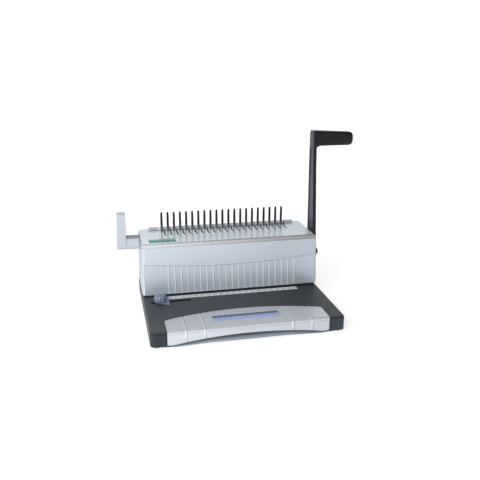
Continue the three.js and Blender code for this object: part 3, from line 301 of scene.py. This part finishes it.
def cover_painted_light(finish, shade):
    """Painted light and shade on the cover: a deck painted lighter, an edge strip painted bright at
    its left end and shaded to its right, real seams painted dark as their shade, and front and left
    walls painted duller as their shade.
    """
    left, right, front, back, _, _ = sides("top_cover")
    middle = (left + right) / 2
    x, y, z = finish.axis("X"), finish.axis("Y"), finish.axis("Z")
    along = finish.ease(x, left, right)
    strip = sides("label_plate")[2] - LABEL_INSET + STRIP_DEPTH
    seam_low, seam_high = DECK - 7.8, DECK - 6.4
    painted_deck_light, painted_wall_shade, seam_shade_paint = paint(234, 248, 255), paint(150, 160, 174), paint(66, 66, 66)

    # painted light: the deck is lighter than the walls
    deck = (y > strip) * (z > ON_DECK)
    shade = finish.blend(deck * 0.6, shade, painted_deck_light)
    # painted shade: the front wall gets duller towards its right end
    front_wall = (y < strip) * (z < DECK - 7) * finish.ease(x, middle - 20, right, 0, 0.2)
    shade = finish.blend(front_wall, shade, PAINTED_SHADE_SILVER)

    # painted highlight and shade on the edge strip: bright at its left end, darker to its right
    lip = finish.blend(along, paint(198, 200, 204), paint(138, 137, 137))
    bend = finish.blend(along, paint(244, 247, 252), paint(184, 184, 186))
    fold = finish.blend(along, paint(232, 236, 243), paint(172, 172, 174))
    lower_edge = finish.blend(finish.ease(z, DECK - 4.6, DECK - 3.8), fold, bend)
    painted_edge_light = finish.blend(finish.ease(z, DECK - 2.2, DECK - 1.4), lower_edge, lip)
    edge = (y < strip) * (z > seam_low)
    shade = finish.blend(edge * 0.85, shade, painted_edge_light)

    # painted shade: the left wall is duller, most towards the back
    left_wall = on_left_wall(finish) * finish.ease(y, front, back, 0.5, 0.8)
    shade = finish.blend(left_wall, shade, painted_wall_shade)

    # the seams are real; their dark paint stands in for the shade in them
    deck_seam = finish.band(y, strip + 0.2, strip + 2.4, 0.2) * (z > ON_DECK)
    at_side = abs(x - middle) > (right - left) / 2 - 5
    wall_seam = finish.band(z, seam_low, seam_high, 0.15) * (0.15 + 0.65 * at_side) * (y < back - 1)
    return finish.blend(deck_seam * 0.85 + wall_seam, shade, seam_shade_paint)


def painted_rib_light(finish, shade):
    """Painted highlights on the crests of the ribs, and painted shade at the front's foot and its right
    end.
    """
    left, right = sides("scale_strip")[:2]
    middle = (left + right) / 2
    bottom = sides("front_panel")[4]
    x, z = finish.axis("X"), finish.axis("Z")
    # painted shade: duller at the foot and towards the right end
    foot = finish.ease(z, bottom, bottom + 46, 0.3, 0.0)
    right_end = finish.ease(x, middle - 20, right + 20, 0.0, 0.08)
    shade = finish.blend(foot + right_end, shade, PAINTED_SHADE_SILVER)
    half_row = (HOLES - 1) / 2 * PITCH
    ribbed = abs(x - middle) < half_row + 5
    half_crest = 0.8
    # painted highlight along each rib's crest
    crest = finish.repeat(x, middle, PITCH) < half_crest
    return finish.blend(crest * ribbed * 0.9, shade, paint(252, 253, 255))


def painted_groove_light(finish, shade):
    """Painted shade: the panel's top is a shade darker, its front is duller to the right and each
    upright groove is darker. Painted highlight: the left lip of each groove is bright."""
    left, right, _, _, _, top = sides("drawer_front")
    off_middle = finish.axis("X") - (left + right) / 2
    z = finish.axis("Z")
    skirt = z < top - 3.6
    painted_top_shade, painted_skirt_end_shade, painted_groove_shade = paint(120, 116, 110), paint(120, 122, 126), paint(96, 102, 112)
    # painted shade on the panel's top
    shade = finish.blend(skirt, finish.blend(0.2, shade, painted_top_shade), shade)
    # painted shade towards the right end of the skirt
    to_the_right = finish.ease(off_middle, -90, 20, 0, 0.12)
    shade = finish.blend(skirt * to_the_right, shade, painted_skirt_end_shade)
    lip_start, lip_end, half_groove, soft = 5.0, 1.8, 1.6, 0.3
    lips, hollows = 0, 0
    for place in GROOVES:
        lips = lips + finish.band(off_middle, place - lip_start, place - lip_end, soft)
        hollows = hollows + finish.band(off_middle, place - half_groove, place + half_groove, soft)
    # painted shade in each groove
    shade = finish.blend(hollows * 0.16, shade, painted_groove_shade)
    # painted highlight on each groove's left lip, stronger on the skirt
    shine_on_top = 0.25
    shine_on_skirt = finish.ease(z, top - 20, top - 7, 0.2, 0.65)
    shine = shine_on_top * (1 - skirt) + skirt * shine_on_skirt
    return finish.blend(lips * shine, shade, paint(250, 251, 253))


def painted_tray_light(finish, shade):
    """Painted light: the tray's front is lighter towards its lower edge, but hardly at its ends."""
    left, right, _, _, low, high = sides("chip_tray")
    off_middle = abs(finish.axis("X") - (left + right) / 2)
    # painted light, fading up the front and towards the ends
    light = finish.ease(off_middle, 70, 135, 1.0, 0.2)
    light = light * finish.ease(finish.axis("Z"), low, (low + high) / 2, 1.0, 0.0)
    return finish.blend(light, shade, paint(174, 184, 194))


def painted_base_shade(finish, shade):
    """Painted shade on the base: the table is darker to the right; the walls, below a dark line along
    the table's edge, are painted darker than the table and lighter to their right; and the slots and
    what the housing hides are painted black as their shadow."""
    left, right, front, back, _, top = sides("base_shell")
    hidden_from = sides("top_cover")[2] + 4
    x, y, z = finish.axis("X"), finish.axis("Y"), finish.axis("Z")
    painted_table_shade, painted_edge_line_shade, black = paint(40, 42, 46), paint(16, 18, 24), paint(12, 13, 15)
    # painted shade: the table darker towards the right
    shade = finish.blend(finish.ease(x, -60, 130, 0, 0.6), shade, painted_table_shade)
    # painted shade: the walls darker than the table, lighter towards the right
    wall = finish.blend(finish.ease(x, left, right), paint(42, 50, 58), paint(50, 60, 72))
    shade = finish.blend(finish.ease(z, top - 4, top - 1), wall, shade)
    # painted shade along the rounded edge of the table
    shade = finish.blend(finish.band(z, top - 4.5, top - 1.2, 0.4) * 0.6, shade, painted_edge_line_shade)
    # painted shadow: the slots and what the housing hides are black
    from_wall, from_front = 12, 60
    inside = (abs(x - (left + right) / 2) < (right - left) / 2 - from_wall) * (y > front + from_front)
    inside = inside * (y < back - from_wall) * (z > top - 8)
    in_slot, hidden = z < top - 0.9, y > hidden_from
    either = 1 - (1 - inside * in_slot) * (1 - inside * hidden)
    return finish.blend(either, shade, black)


def painted_finger_reflection(finish, shade):
    """A painted reflection: the fingers are lighter near their feet, where they mirror the bright deck.
    """
    near_deck = finish.ease(finish.axis("Z"), DECK + 2, DECK + 18, 0.4, 0.0)
    return finish.blend(near_deck, shade, paint(150, 152, 152))


def painted_ledge_light(finish, shade):
    """Painted light: the ledge is lighter behind the fingers, where they shade it."""
    left, right = sides("finger_plate")[:2]
    # painted light behind the row of fingers
    behind = finish.band(finish.axis("X"), left, right, 3)
    return finish.blend(behind * 0.85, shade, paint(242, 243, 246))


def hub_shade(finish, shade):
    """Painted shade: the hub between the lever's arm and the housing is darker along its top."""
    left = sides("comb_lever")[0]
    at_hub = finish.axis("X") > left + HUB_START
    # painted shade along the top of the hub
    upper = finish.ease(finish.axis("Z"), HUB_TOP - 8, HUB_TOP - 3, 0.0, 0.6)
    return finish.blend(at_hub * upper, shade, paint(92, 92, 96))


# Printed plates


def on_plate(finish, node):
    """How far a point is from a node's left front corner, and how wide and deep the node is."""
    left, right, front, back = sides(node)[:4]
    return finish.axis("X") - left, finish.axis("Y") - front, right - left, back - front


def printed(finish, colour, rough, spread=0.1, more=()):
    """The smooth surface of a printed plate, whose roughness varies by spread."""
    fine = finish.grain(0.8)
    sockets = {"Base Color": colour, "Roughness": rough + spread * (fine - 0.5), **dict(more)}
    return finish.skin(sockets, fine, 0.004)


def scale_print(name, slot):
    """White strip with a dotted ring at each hole and a fine line along both edges."""
    finish = Finish(name, slot)
    left, right, front, back = sides("scale_strip")[:4]
    off_middle = abs(finish.axis("Y") - (front + back) / 2)
    half_width, half_depth = 4.6, 3.0
    across = finish.repeat(finish.axis("X"), (left + right) / 2, PITCH) / half_width
    along = off_middle / half_depth
    reach = (across * across + along * along) ** 0.5
    ring = finish.band(reach, 0.62, 1.0, 0.06)
    centre = reach < 0.35
    edge = finish.band(off_middle, 5.2, 5.6, 0.12)
    ink = (ring * 0.9 + centre * 0.5 + edge * 0.4).at_most(1.0)
    colour = finish.blend(ink, paint(232, 235, 238), paint(92, 97, 105))
    return printed(finish, colour, rough=0.38)


def gauge_print(name, slot):
    """Blue plate with a dark toothed band along its back, ruled ticks and pale edges."""
    finish = Finish(name, slot)
    x, y, width, deep = on_plate(finish, "size_gauge")
    teeth = 21
    step = width / teeth
    near_back = deep - y
    reach = 7.4 + 3.4 * (finish.repeat(x, 0.0, step) < step * 0.22)
    row = near_back < reach
    gap = (finish.repeat(x, step / 2, step) < step * 0.2) * (near_back < 5.8) * (near_back > 1.8)
    tick = (finish.repeat(x, step / 2, step / 2) < 0.4) * (y > 3.5) * (near_back > 11.5)
    edges = (y < 3.4) * 1.2 + (x < 1.0) * 0.8 + (x > width - 3.0) * 1.2
    field = finish.blend(finish.ease(y, 0, deep), paint(154, 176, 230), paint(120, 142, 196))
    field = finish.blend(finish.grain(9) * 0.4, field, paint(176, 188, 232))
    field = finish.blend(row * 0.94, field, paint(30, 44, 68))
    field = finish.blend(gap * 0.4, field, paint(150, 162, 190))
    marks = (tick * 0.45 + edges * 0.6).at_most(1.0)
    colour = finish.blend(marks, field, paint(190, 197, 212))
    return printed(finish, colour, rough=0.34, more={"Coat Weight": 0.3})


def label_print(name, slot):
    """Green plate with a pale border and two pale rules; its green pales towards the back as a painted
    reflection.
    """
    finish = Finish(name, slot)
    x, y, width, deep = on_plate(finish, "label_plate")
    border = (x < 0.9) + (x > width - 0.9) + (y < 1.6) + (y > deep - 0.9)
    rules = finish.band(y, deep * 0.62, deep * 0.66, 0.2) + finish.band(y, deep * 0.72, deep * 0.74, 0.2)
    rules = rules * (x > 5) * (x < width - 5)
    marks = (border * 0.5 + rules * 0.4).at_most(1.0)
    # the green runs from dark at the front to pale at the back: a painted reflection
    field = finish.blend(finish.ease(y, 0, deep), paint(20, 112, 104), paint(128, 200, 194))
    colour = finish.blend(marks, field, paint(160, 206, 200))
    return printed(finish, colour, rough=0.4, spread=0.08, more={"Specular IOR Level": 0.3})


charcoal = moulded(
    "charcoal_plastic", "charcoal_plastic", paint(66, 69, 75), rough=0.47, spread=0.05,
    grain_size=0.7, depth=0.02, more={"Specular IOR Level": 0.36}, drawn=painted_base_shade,
)
silver = silver_paint(
    "housing_silver", "silver_plastic", HOUSING_SILVER, rough=0.36, metallic=0.2, coat=0.2
)
ribbed_silver = silver_paint(
    "ribbed_silver", "silver_plastic", HOUSING_SILVER, rough=0.36, metallic=0.2, coat=0.2,
    drawn=painted_rib_light,
)
cover_silver = silver_paint(
    "cover_silver", "silver_plastic", HOUSING_SILVER, rough=0.36, metallic=0.2, coat=cover_coat,
    drawn=cover_painted_light,
)
panel_paint = silver_paint(
    "panel_silver", "panel_silver", paint(208, 214, 222), rough=0.34, metallic=0.2, coat=0.15,
    drawn=painted_groove_light,
)
ledge_paint = silver_paint(
    "ledge_silver", "silver_plastic", paint(194, 194, 199), rough=0.4, metallic=0.1, coat=0.1,
    drawn=painted_ledge_light,
)
arm_paint = moulded(
    "handle_paint", "handle_metal", paint(18, 24, 36), rough=0.36, spread=0.05, grain_size=0.9,
    more={"Specular IOR Level": 0.34},
)
grip_black = moulded(
    "grip_black", "grip_plastic", paint(21, 22, 27), rough=0.55, spread=0.06, grain_size=0.8,
    depth=0.03, more={"Specular IOR Level": 0.3},
)
finger_black = moulded(
    "finger_black", "black_steel", paint(30, 30, 32), rough=0.5, spread=0.08, grain_size=0.5,
    depth=0.004, more={"Specular IOR Level": 0.3}, drawn=painted_finger_reflection,
)
lever_white = moulded(
    "lever_plastic", "lever_plastic", paint(197, 204, 213), rough=0.4, spread=0.03,
    grain_size=0.7, drawn=hub_shade,
)
tinted = moulded(
    "guide_plastic", "guide_plastic", paint(134, 151, 178), rough=0.2, spread=0.06, grain_size=1.2,
    depth=0.006, more={"Transmission Weight": 0.25, "IOR": 1.5, "Coat Weight": 0.3},
)
tray_grey = moulded(
    "tray_plastic", "tray_plastic", paint(93, 105, 119), rough=0.42, spread=0.05, grain_size=0.7,
    depth=0.015, drawn=painted_tray_light,
)
rubber = moulded(
    "foot_rubber", "rubber", paint(28, 28, 30), rough=0.85, spread=0.08, grain_size=0.5, depth=0.04
)
gauge_blue = gauge_print("gauge_blue", "gauge_blue")
label_green = label_print("label_green", "label_green")
scale_white = scale_print("scale_white", "scale_white")
black_steel = steel(
    "black_steel", "black_steel", paint(36, 37, 40), rough=0.36, stretch=(1, 1, 0.1), metallic=0.4
)
plate_steel = steel(
    "plate_steel", "bright_steel", paint(172, 178, 182), rough=0.3, stretch=(0.08, 1, 1)
)
bar_steel = steel(
    "bar_steel", "bright_steel", paint(176, 180, 184), rough=0.24, stretch=(0.05, 1, 1)
)
screw_steel = steel(
    "screw_steel", "bright_steel", paint(150, 154, 158), rough=0.3, stretch=(1, 1, 1)
)
brass = steel("bush_brass", "brass", paint(186, 148, 80), rough=0.32, stretch=(0.1, 1, 1))


# Making and placing pieces


def smooth_mesh(form, name, fold):
    """Turns a bmesh into a mesh that is smooth where it folds by less than fold degrees."""
    for face in form.faces:
        face.smooth = True
    mesh = bpy.data.meshes.new(name)
    form.to_mesh(mesh)
    form.free()
    spare = mesh.attributes.get("custom_normal")
    if spare:
        mesh.attributes.remove(spare)
    mesh.set_sharp_from_angle(angle=math.radians(fold))
    return mesh


def add_piece(name, mesh, finish, body, stands_for=()):
    """A mesh as a shown piece on a body, in the place of the CAD nodes it stands for."""
    mesh.materials.append(finish.material)
    piece = bpy.data.objects.new(name, mesh)
    bpy.context.scene.collection.objects.link(piece)
    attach(piece, body)
    if stands_for:
        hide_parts(*stands_for)
    return piece


def body_of(node):
    return frame["nodes"][node]["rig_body"]


def soft_shading(piece):
    """Keeps flat faces flat beside rounded edges; it comes after every other modifier."""
    shading = piece.modifiers.new("shading", "WEIGHTED_NORMAL")
    shading.keep_sharp = True


def dressed(node, finish, width, steps=2, fold=34):
    """A copy of a CAD node with its flat faces merged and its edges rounded by width; an edge is
    where the surface turns by more than fold degrees."""
    form = bmesh.new()
    form.from_mesh(frame["nodes"][node].data)
    bmesh.ops.remove_doubles(form, verts=form.verts, dist=1e-6)
    bmesh.ops.dissolve_limit(form, angle_limit=math.radians(0.6), verts=form.verts, edges=form.edges)
    name = node + "_skin"
    piece = add_piece(name, smooth_mesh(form, name, fold), finish, body_of(node), [node])
    bevel = piece.modifiers.new("edges", "BEVEL")
    bevel.width = width * MM
    bevel.segments = steps
    bevel.limit_method = "ANGLE"
    bevel.angle_limit = math.radians(fold)
    bevel.harden_normals = False
    bevel.use_clamp_overlap = True
    soft_shading(piece)
    return piece


def lofted(name, stacks, finish, body, stands_for=(), fold=40):
    """A smooth shown piece, skinned over stacks of rings; a stack's rings have the same count."""
    form = bmesh.new()
    for rings in stacks:
        rows = [[form.verts.new(point) for point in ring] for ring in rings]
        count = len(rows[0])
        for low, high in zip(rows, rows[1:]):
            for i in range(count):
                j = (i + 1) % count
                form.faces.new((low[i], low[j], high[j], high[i]))
        form.faces.new(reversed(rows[0]))
        form.faces.new(rows[-1])
    bmesh.ops.remove_doubles(form, verts=form.verts, dist=1e-7)
    bmesh.ops.recalc_face_normals(form, faces=form.faces)
    soft_shading(add_piece(name, smooth_mesh(form, name, fold), finish, body, stands_for))


def rounded_ring(width, depth, radius, corner_steps=3):
    """A rounded rectangle about the origin, counter-clockwise, in its own plane."""
    radius = min(radius, width / 2 - 1e-6, depth / 2 - 1e-6)
    points = []
    corners = ((1, -1, -90), (1, 1, 0), (-1, 1, 90), (-1, -1, 180))
    for side_x, side_y, start in corners:
        cx, cy = side_x * (width / 2 - radius), side_y * (depth / 2 - radius)
        for k in range(corner_steps + 1):
            angle = math.radians(start + 90 * k / corner_steps)
            points.append((cx + radius * math.cos(angle), cy + radius * math.sin(angle)))
    return points


def level_ring(x, y, z, outline):
    """A flat outline laid level about a place."""
    return [spot(x + px, y + py, z) for px, py in outline]


def comb_fingers():
    """The 21 fingers, tapered and bluntly pointed, on their plate under the deck."""
    left, right, front, back, plate_low, tip = sides("finger_plate")
    plate_top = DECK - 2.9
    plate_corner = 2
    middle_x, middle_y = (left + right) / 2, (front + back) / 2
    outline = rounded_ring(right - left, back - front, plate_corner)
    stacks = [[level_ring(middle_x, middle_y, z, outline) for z in (plate_low, plate_top)]]
    reach = tip - DECK
    edge_radius = 0.9
    profile = (  # height, width and depth
        (plate_top - 1, 5, 3.4), (DECK, 5, 3.4), (DECK + 0.35 * reach, 5.4, 3.2),
        (DECK + 0.7 * reach, 5.2, 2.9), (tip - 3.4, 4.8, 2.7), (tip - 1.6, 4.3, 2.5),
        (tip - 0.5, 3.2, 1.8), (tip, 1.9, 0.9),
    )
    for i in range(HOLES):
        x = middle_x + (i - (HOLES - 1) / 2) * PITCH
        stacks.append([
            level_ring(x, front + deep / 2, z, rounded_ring(width, deep, edge_radius))
            for z, width, deep in profile
        ])
    lofted("comb_fingers", stacks, finger_black, body_of("finger_plate"), ["finger_plate"])


def grip():
    """The handle's grip: a bar with soft corners and a bulged end, and the web under its root."""
    left, right, front, back, web_low, top = sides("handle_grip")
    middle_y = (front + back) / 2
    web_radius, web_width, web_corner = 8.5, 16.5, 0.19
    web_overlap, web_steps = 0.4, 8
    bar_low = web_low + web_radius
    end_drop, drop_until = 4.5, 0.9
    profile = (  # share of the length, width, inset from above and below, corner radius
        (0.0, 22.4, 0.8, 5.0), (0.008, 23.2, 0.4, 5.4), (0.02, 23.8, 0.1, 5.8),
        (0.3, 23.5, 0.2, 6.6), (0.6, 23.4, 0.2, 7.4), (0.8, 23.9, 0.0, 8.2),
        (0.9, 24.0, 0.0, 9.0), (0.95, 23.2, 0.9, 9.6), (0.975, 20.8, 2.4, 9.4),
        (0.99, 17.0, 4.6, 8.0), (0.997, 13.0, 6.8, 6.2), (1.0, 9.0, 9.0, 4.4),
    )
    rings = []
    for share, width, inset, radius in profile:
        x = left + share * (right - left)
        ring_top = top - end_drop * min(share / drop_until, 1) - inset
        ring_low = bar_low + inset
        rings.append([
            spot(x, middle_y + py, (ring_top + ring_low) / 2 + pz)
            for py, pz in rounded_ring(width, ring_top - ring_low, radius, 5)
        ])
    lofted("grip_bar", [rings], grip_black, body_of("handle_grip"), ["handle_grip"], 60)

    rings = []
    for k in range(web_steps + 1):
        angle = math.radians(90 * k / web_steps)
        z = web_low + web_radius * math.sin(angle)
        out = web_radius * (1 - math.cos(angle)) + web_overlap
        outline = rounded_ring(out, web_width, min(web_corner, out / 2), 2)
        rings.append([spot(left + px + out / 2, middle_y + py, z) for px, py in outline])
    lofted("grip_web", [rings], grip_black, body_of("handle_grip"), [], 60)


def knob():
    """The guide's knob: domed, with nine soft finger scallops."""
    low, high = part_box("guide_knob")
    centre = (low + high) / 2
    radius = (high.x - low.x) / 2 / MM
    height = (high.z - low.z) / MM
    around, scallops, scallop_depth = 108, 9, 1.25
    profile = (  # shares of the height, the radius and the scallops' depth
        (0.0, 0.93, 0.7), (0.04, 0.985, 0.85), (0.1, 1.0, 1.0), (0.3, 0.995, 1.0), (0.5, 0.98, 1.0),
        (0.66, 0.955, 1.0), (0.78, 0.91, 0.9), (0.87, 0.83, 0.7), (0.93, 0.72, 0.45),
        (0.965, 0.58, 0.2), (0.985, 0.4, 0.0), (0.997, 0.2, 0.0), (1.0, 0.06, 0.0),
    )
    rings = []
    for share_z, share_r, scallop in profile:
        z = low.z + share_z * height * MM
        ring = []
        for k in range(around):
            angle = 2 * math.pi * k / around
            dip = max(0.0, math.cos(scallops * angle)) ** 1.5 * scallop_depth * scallop
            r = (radius * share_r - dip) * MM
            ring.append(Vector((centre.x + r * math.cos(angle), centre.y + r * math.sin(angle), z)))
        rings.append(ring)
    lofted("knob_cap", [rings], tinted, body_of("guide_knob"), ["guide_knob"], 60)


def screw(name, place, facing, body, radius):
    """A low domed head with a cross recess, on a place and facing one way."""
    around, height, recess_floor = 48, 1.3, 0.25
    arm, half_slot = 0.58 * radius, 0.15 * radius
    turn = Vector((0, 0, 1)).rotation_difference(Vector(facing)).to_matrix()

    def cross(angle):
        c, s = abs(math.cos(angle)) + 1e-6, abs(math.sin(angle)) + 1e-6
        return max(min(arm / c, half_slot / s), min(arm / s, half_slot / c))

    def ring(reach, z):
        row = []
        for k in range(around):
            angle = 2 * math.pi * k / around
            r = reach(angle)
            row.append(place + turn @ (Vector((r * math.cos(angle), r * math.sin(angle), z)) * MM))
        return row

    rings = []
    for share, rise in ((1.0, 0.0), (1.0, 0.35), (0.96, 0.55), (0.86, 0.78), (0.72, 0.93), (0.6, 1.0)):
        rings.append(ring(lambda angle: share * radius, rise * height))
    for share in (1, recess_floor):
        rings.append(ring(cross, share * height))
    lofted(name, [rings], screw_steel, body, [], 50)


# Dressing the solids


def lift_bottom(piece, level):
    """Moves a piece's lower edge up, but not beside the drawer, so that the feet below it show."""
    left, right, front = sides("chip_tray")[:3]
    beside, behind, slack = 6, 20, 0.1
    for point in piece.data.vertices:
        x, y, z = point.co / MM
        beside_drawer = left - beside < x < right + beside and y < front + behind
        if z < level + slack and not beside_drawer:
            point.co.z = SHOWN_BOTTOM * MM


def stretch_up(foot, top):
    """Makes a foot as high as the lifted edge leaves room for."""
    share = top * MM / max(point.co.z for point in foot.data.vertices)
    for point in foot.data.vertices:
        point.co.z *= share


def recoat(finish, *nodes):
    """Gives another finish to CAD nodes that are shown as they are."""
    for node in nodes:
        materials = frame["nodes"][node].data.materials
        materials.clear()
        materials.append(finish.material)


base_bottom = sides("base_shell")[4]
foot_gap = 0.3
for piece in (dressed("base_shell", charcoal, 0.7, 3), dressed("bottom_plate", charcoal, 0.25, 1)):
    lift_bottom(piece, base_bottom)
for corner in ("front_left", "front_right", "rear_left", "rear_right"):
    stretch_up(dressed("foot_" + corner, rubber, 0.5, 2, 30), SHOWN_BOTTOM - foot_gap)
dressed("scale_strip", scale_white, 0.12, 1)
dressed("chip_tray", tray_grey, 0.4)
dressed("drawer_front", panel_paint, 0.35, 2, 30)
dressed("size_gauge", gauge_blue, 0.2)
dressed("edge_guide", tinted, 0.5, 3)
dressed("top_cover", cover_silver, 0.35)
dressed("front_panel", ribbed_silver, 0.22, 2, 30)
dressed("rear_cover", silver, 0.3)
dressed("label_plate", label_green, 0.12, 1)
dressed("rear_ledge", ledge_paint, 0.6, 3, 30)
dressed("handle_arm", arm_paint, 0.45)
dressed("pivot_cap", grip_black, 0.3)
dressed("handle_washer", grip_black, 0.3)
dressed("hook_plate", black_steel, 0.18, 1)
dressed("comb_lever", lever_white, 0.5, 3)
comb_fingers()
grip()
knob()

recoat(plate_steel, "side_frame_left", "side_frame_right", "die_plate", "punch_guide", "clamp_stud")
recoat(
    bar_steel, "tie_bar", "punch_bar", "punch_rack_left", "punch_rack_right", "drive_shaft",
    "drive_pinion_left", "drive_pinion_right", "return_spring", "lever_shaft",
    "lever_pinion_left", "lever_pinion_right",
)
recoat(brass, "shaft_bush_left", "shaft_bush_right")

left, _, _, back, _, top = sides("handle_arm")
from_back, from_top = 14, 13
arm_place = spot(left, back - from_back, top - from_top)
screw("arm_screw", arm_place, (-1, 0, 0), "punch_handle", radius=2.6)

left, right, _, back, low, high = sides("rear_cover")
inset = 9
for i, x in enumerate((left + inset, right - inset)):
    for k, z in enumerate((low + inset, high - inset)):
        screw(f"rear_screw_{i}{k}", spot(x, back, z), (0, 1, 0), "machine", radius=3.0)

left, right, front, back, _, _ = sides("bottom_plate")
from_side, from_end = 32, 14
for i, x in enumerate((left + from_side, right - from_side)):
    for k, y in enumerate((front + from_end, (front + back) / 2, back - from_end)):
        screw(f"base_screw_{i}{k}", spot(x, y, SHOWN_BOTTOM), (0, 0, -1), "machine", radius=3.0)


# Studio: floor, surroundings, lights and camera


def place_in_studio(name, data):
    holder = bpy.data.objects.new(name, data)
    bpy.context.scene.collection.objects.link(holder)
    return holder


def white_floor():
    """A wide white floor that glows a little less near the part."""
    half_size = 40.0
    form = bmesh.new()
    bmesh.ops.create_grid(form, x_segments=8, y_segments=8, size=half_size)
    mesh = bpy.data.meshes.new("floor")
    form.to_mesh(mesh)
    form.free()
    floor = place_in_studio("floor", mesh)
    tone = Finish("floor_white", "")
    cloud = tone.grain(400)
    x, y = tone.axis("X"), tone.axis("Y")
    away = tone.ease((x * x + y * y) ** 0.5, 150, 900)
    tone.skin({
        "Base Color": tone.blend(cloud, (0.5, 0.5, 0.5, 1), (0.53, 0.53, 0.53, 1)),
        "Roughness": 0.9,
        "Emission Color": tone.blend(away, (0.86, 0.86, 0.86, 1), (1, 1, 1, 1)),
        "Emission Strength": 0.8,
    })
    mesh.materials.append(tone.material)


def surroundings():
    """White as the camera sees it; as a light it is stronger from the left, from behind and from
    a patch high in front."""
    world = bpy.data.worlds.new("surroundings")
    world.use_nodes = True
    bpy.context.scene.world = world
    sky = Bench(world.node_tree)
    way = sky.node("ShaderNodeTexCoord", output="Generated")
    x, y, z = (
        sky.node("ShaderNodeSeparateXYZ", feeds={0: way}, output=name) for name in ("X", "Y", "Z")
    )
    level = sky.ease(z, 0.1, 0.85, 0.78, 0.58) * sky.ease(x, -0.9, 0.9, 0.94, 0.5)
    high_in_front = sky.ease(z - y - 0.5 * x, 0.95, 1.5, 0, 0.3)
    level = level * sky.ease(y, -0.9, 0.6, 0.26, 1.0) + high_in_front
    seen = sky.node("ShaderNodeLightPath", output="Is Camera Ray")
    strength = seen * 1.05 + (1 - seen) * level
    glow = sky.node("ShaderNodeBackground", feeds={"Color": (1.0, 1.0, 1.0, 1.0), "Strength": strength})
    sky.node("ShaderNodeOutputWorld", feeds={"Surface": glow})


def panel_light(name, place, aim, size, power):
    """A rectangular lamp at a place in metres that shines at another."""
    lamp = bpy.data.lights.new(name, "AREA")
    lamp.shape = "RECTANGLE"
    lamp.size, lamp.size_y = size
    lamp.energy = power
    holder = place_in_studio(name, lamp)
    holder.location = place
    holder.rotation_euler = (Vector(aim) - Vector(place)).to_track_quat("-Z", "Y").to_euler()


def camera():
    """The camera as fitted to the corners of the housing and the base."""
    place = (-0.29653, -1.25173, 0.55911)
    yaw, pitch, roll = 0.2222, -0.3022, 0.0043
    ahead = Vector((math.sin(yaw) * math.cos(pitch), math.cos(yaw) * math.cos(pitch), math.sin(pitch)))
    right = Vector((math.cos(yaw), -math.sin(yaw), 0))
    up = right.cross(ahead)
    across = math.cos(roll) * right + math.sin(roll) * up
    above = -math.sin(roll) * right + math.cos(roll) * up
    lens = bpy.data.cameras.new("camera")
    lens.sensor_fit = "HORIZONTAL"
    lens.sensor_width = 36
    lens.lens = 46.65
    lens.clip_start = 0.01
    holder = place_in_studio("camera", lens)
    turn = Matrix((across, above, -ahead)).transposed().to_4x4()
    holder.matrix_world = Matrix.Translation(place) @ turn
    bpy.context.scene.camera = holder


white_floor()
surroundings()
panel_light("key", place=(-0.75, -0.95, 0.85), aim=(-0.1, 0, 0.1), size=(0.8, 0.8), power=12)
panel_light("back", place=(0.3, 1.8, 1.2), aim=(0, 0, 0.1), size=(1.8, 0.9), power=6)
camera()
bpy.context.scene.view_settings.view_transform = "Standard"
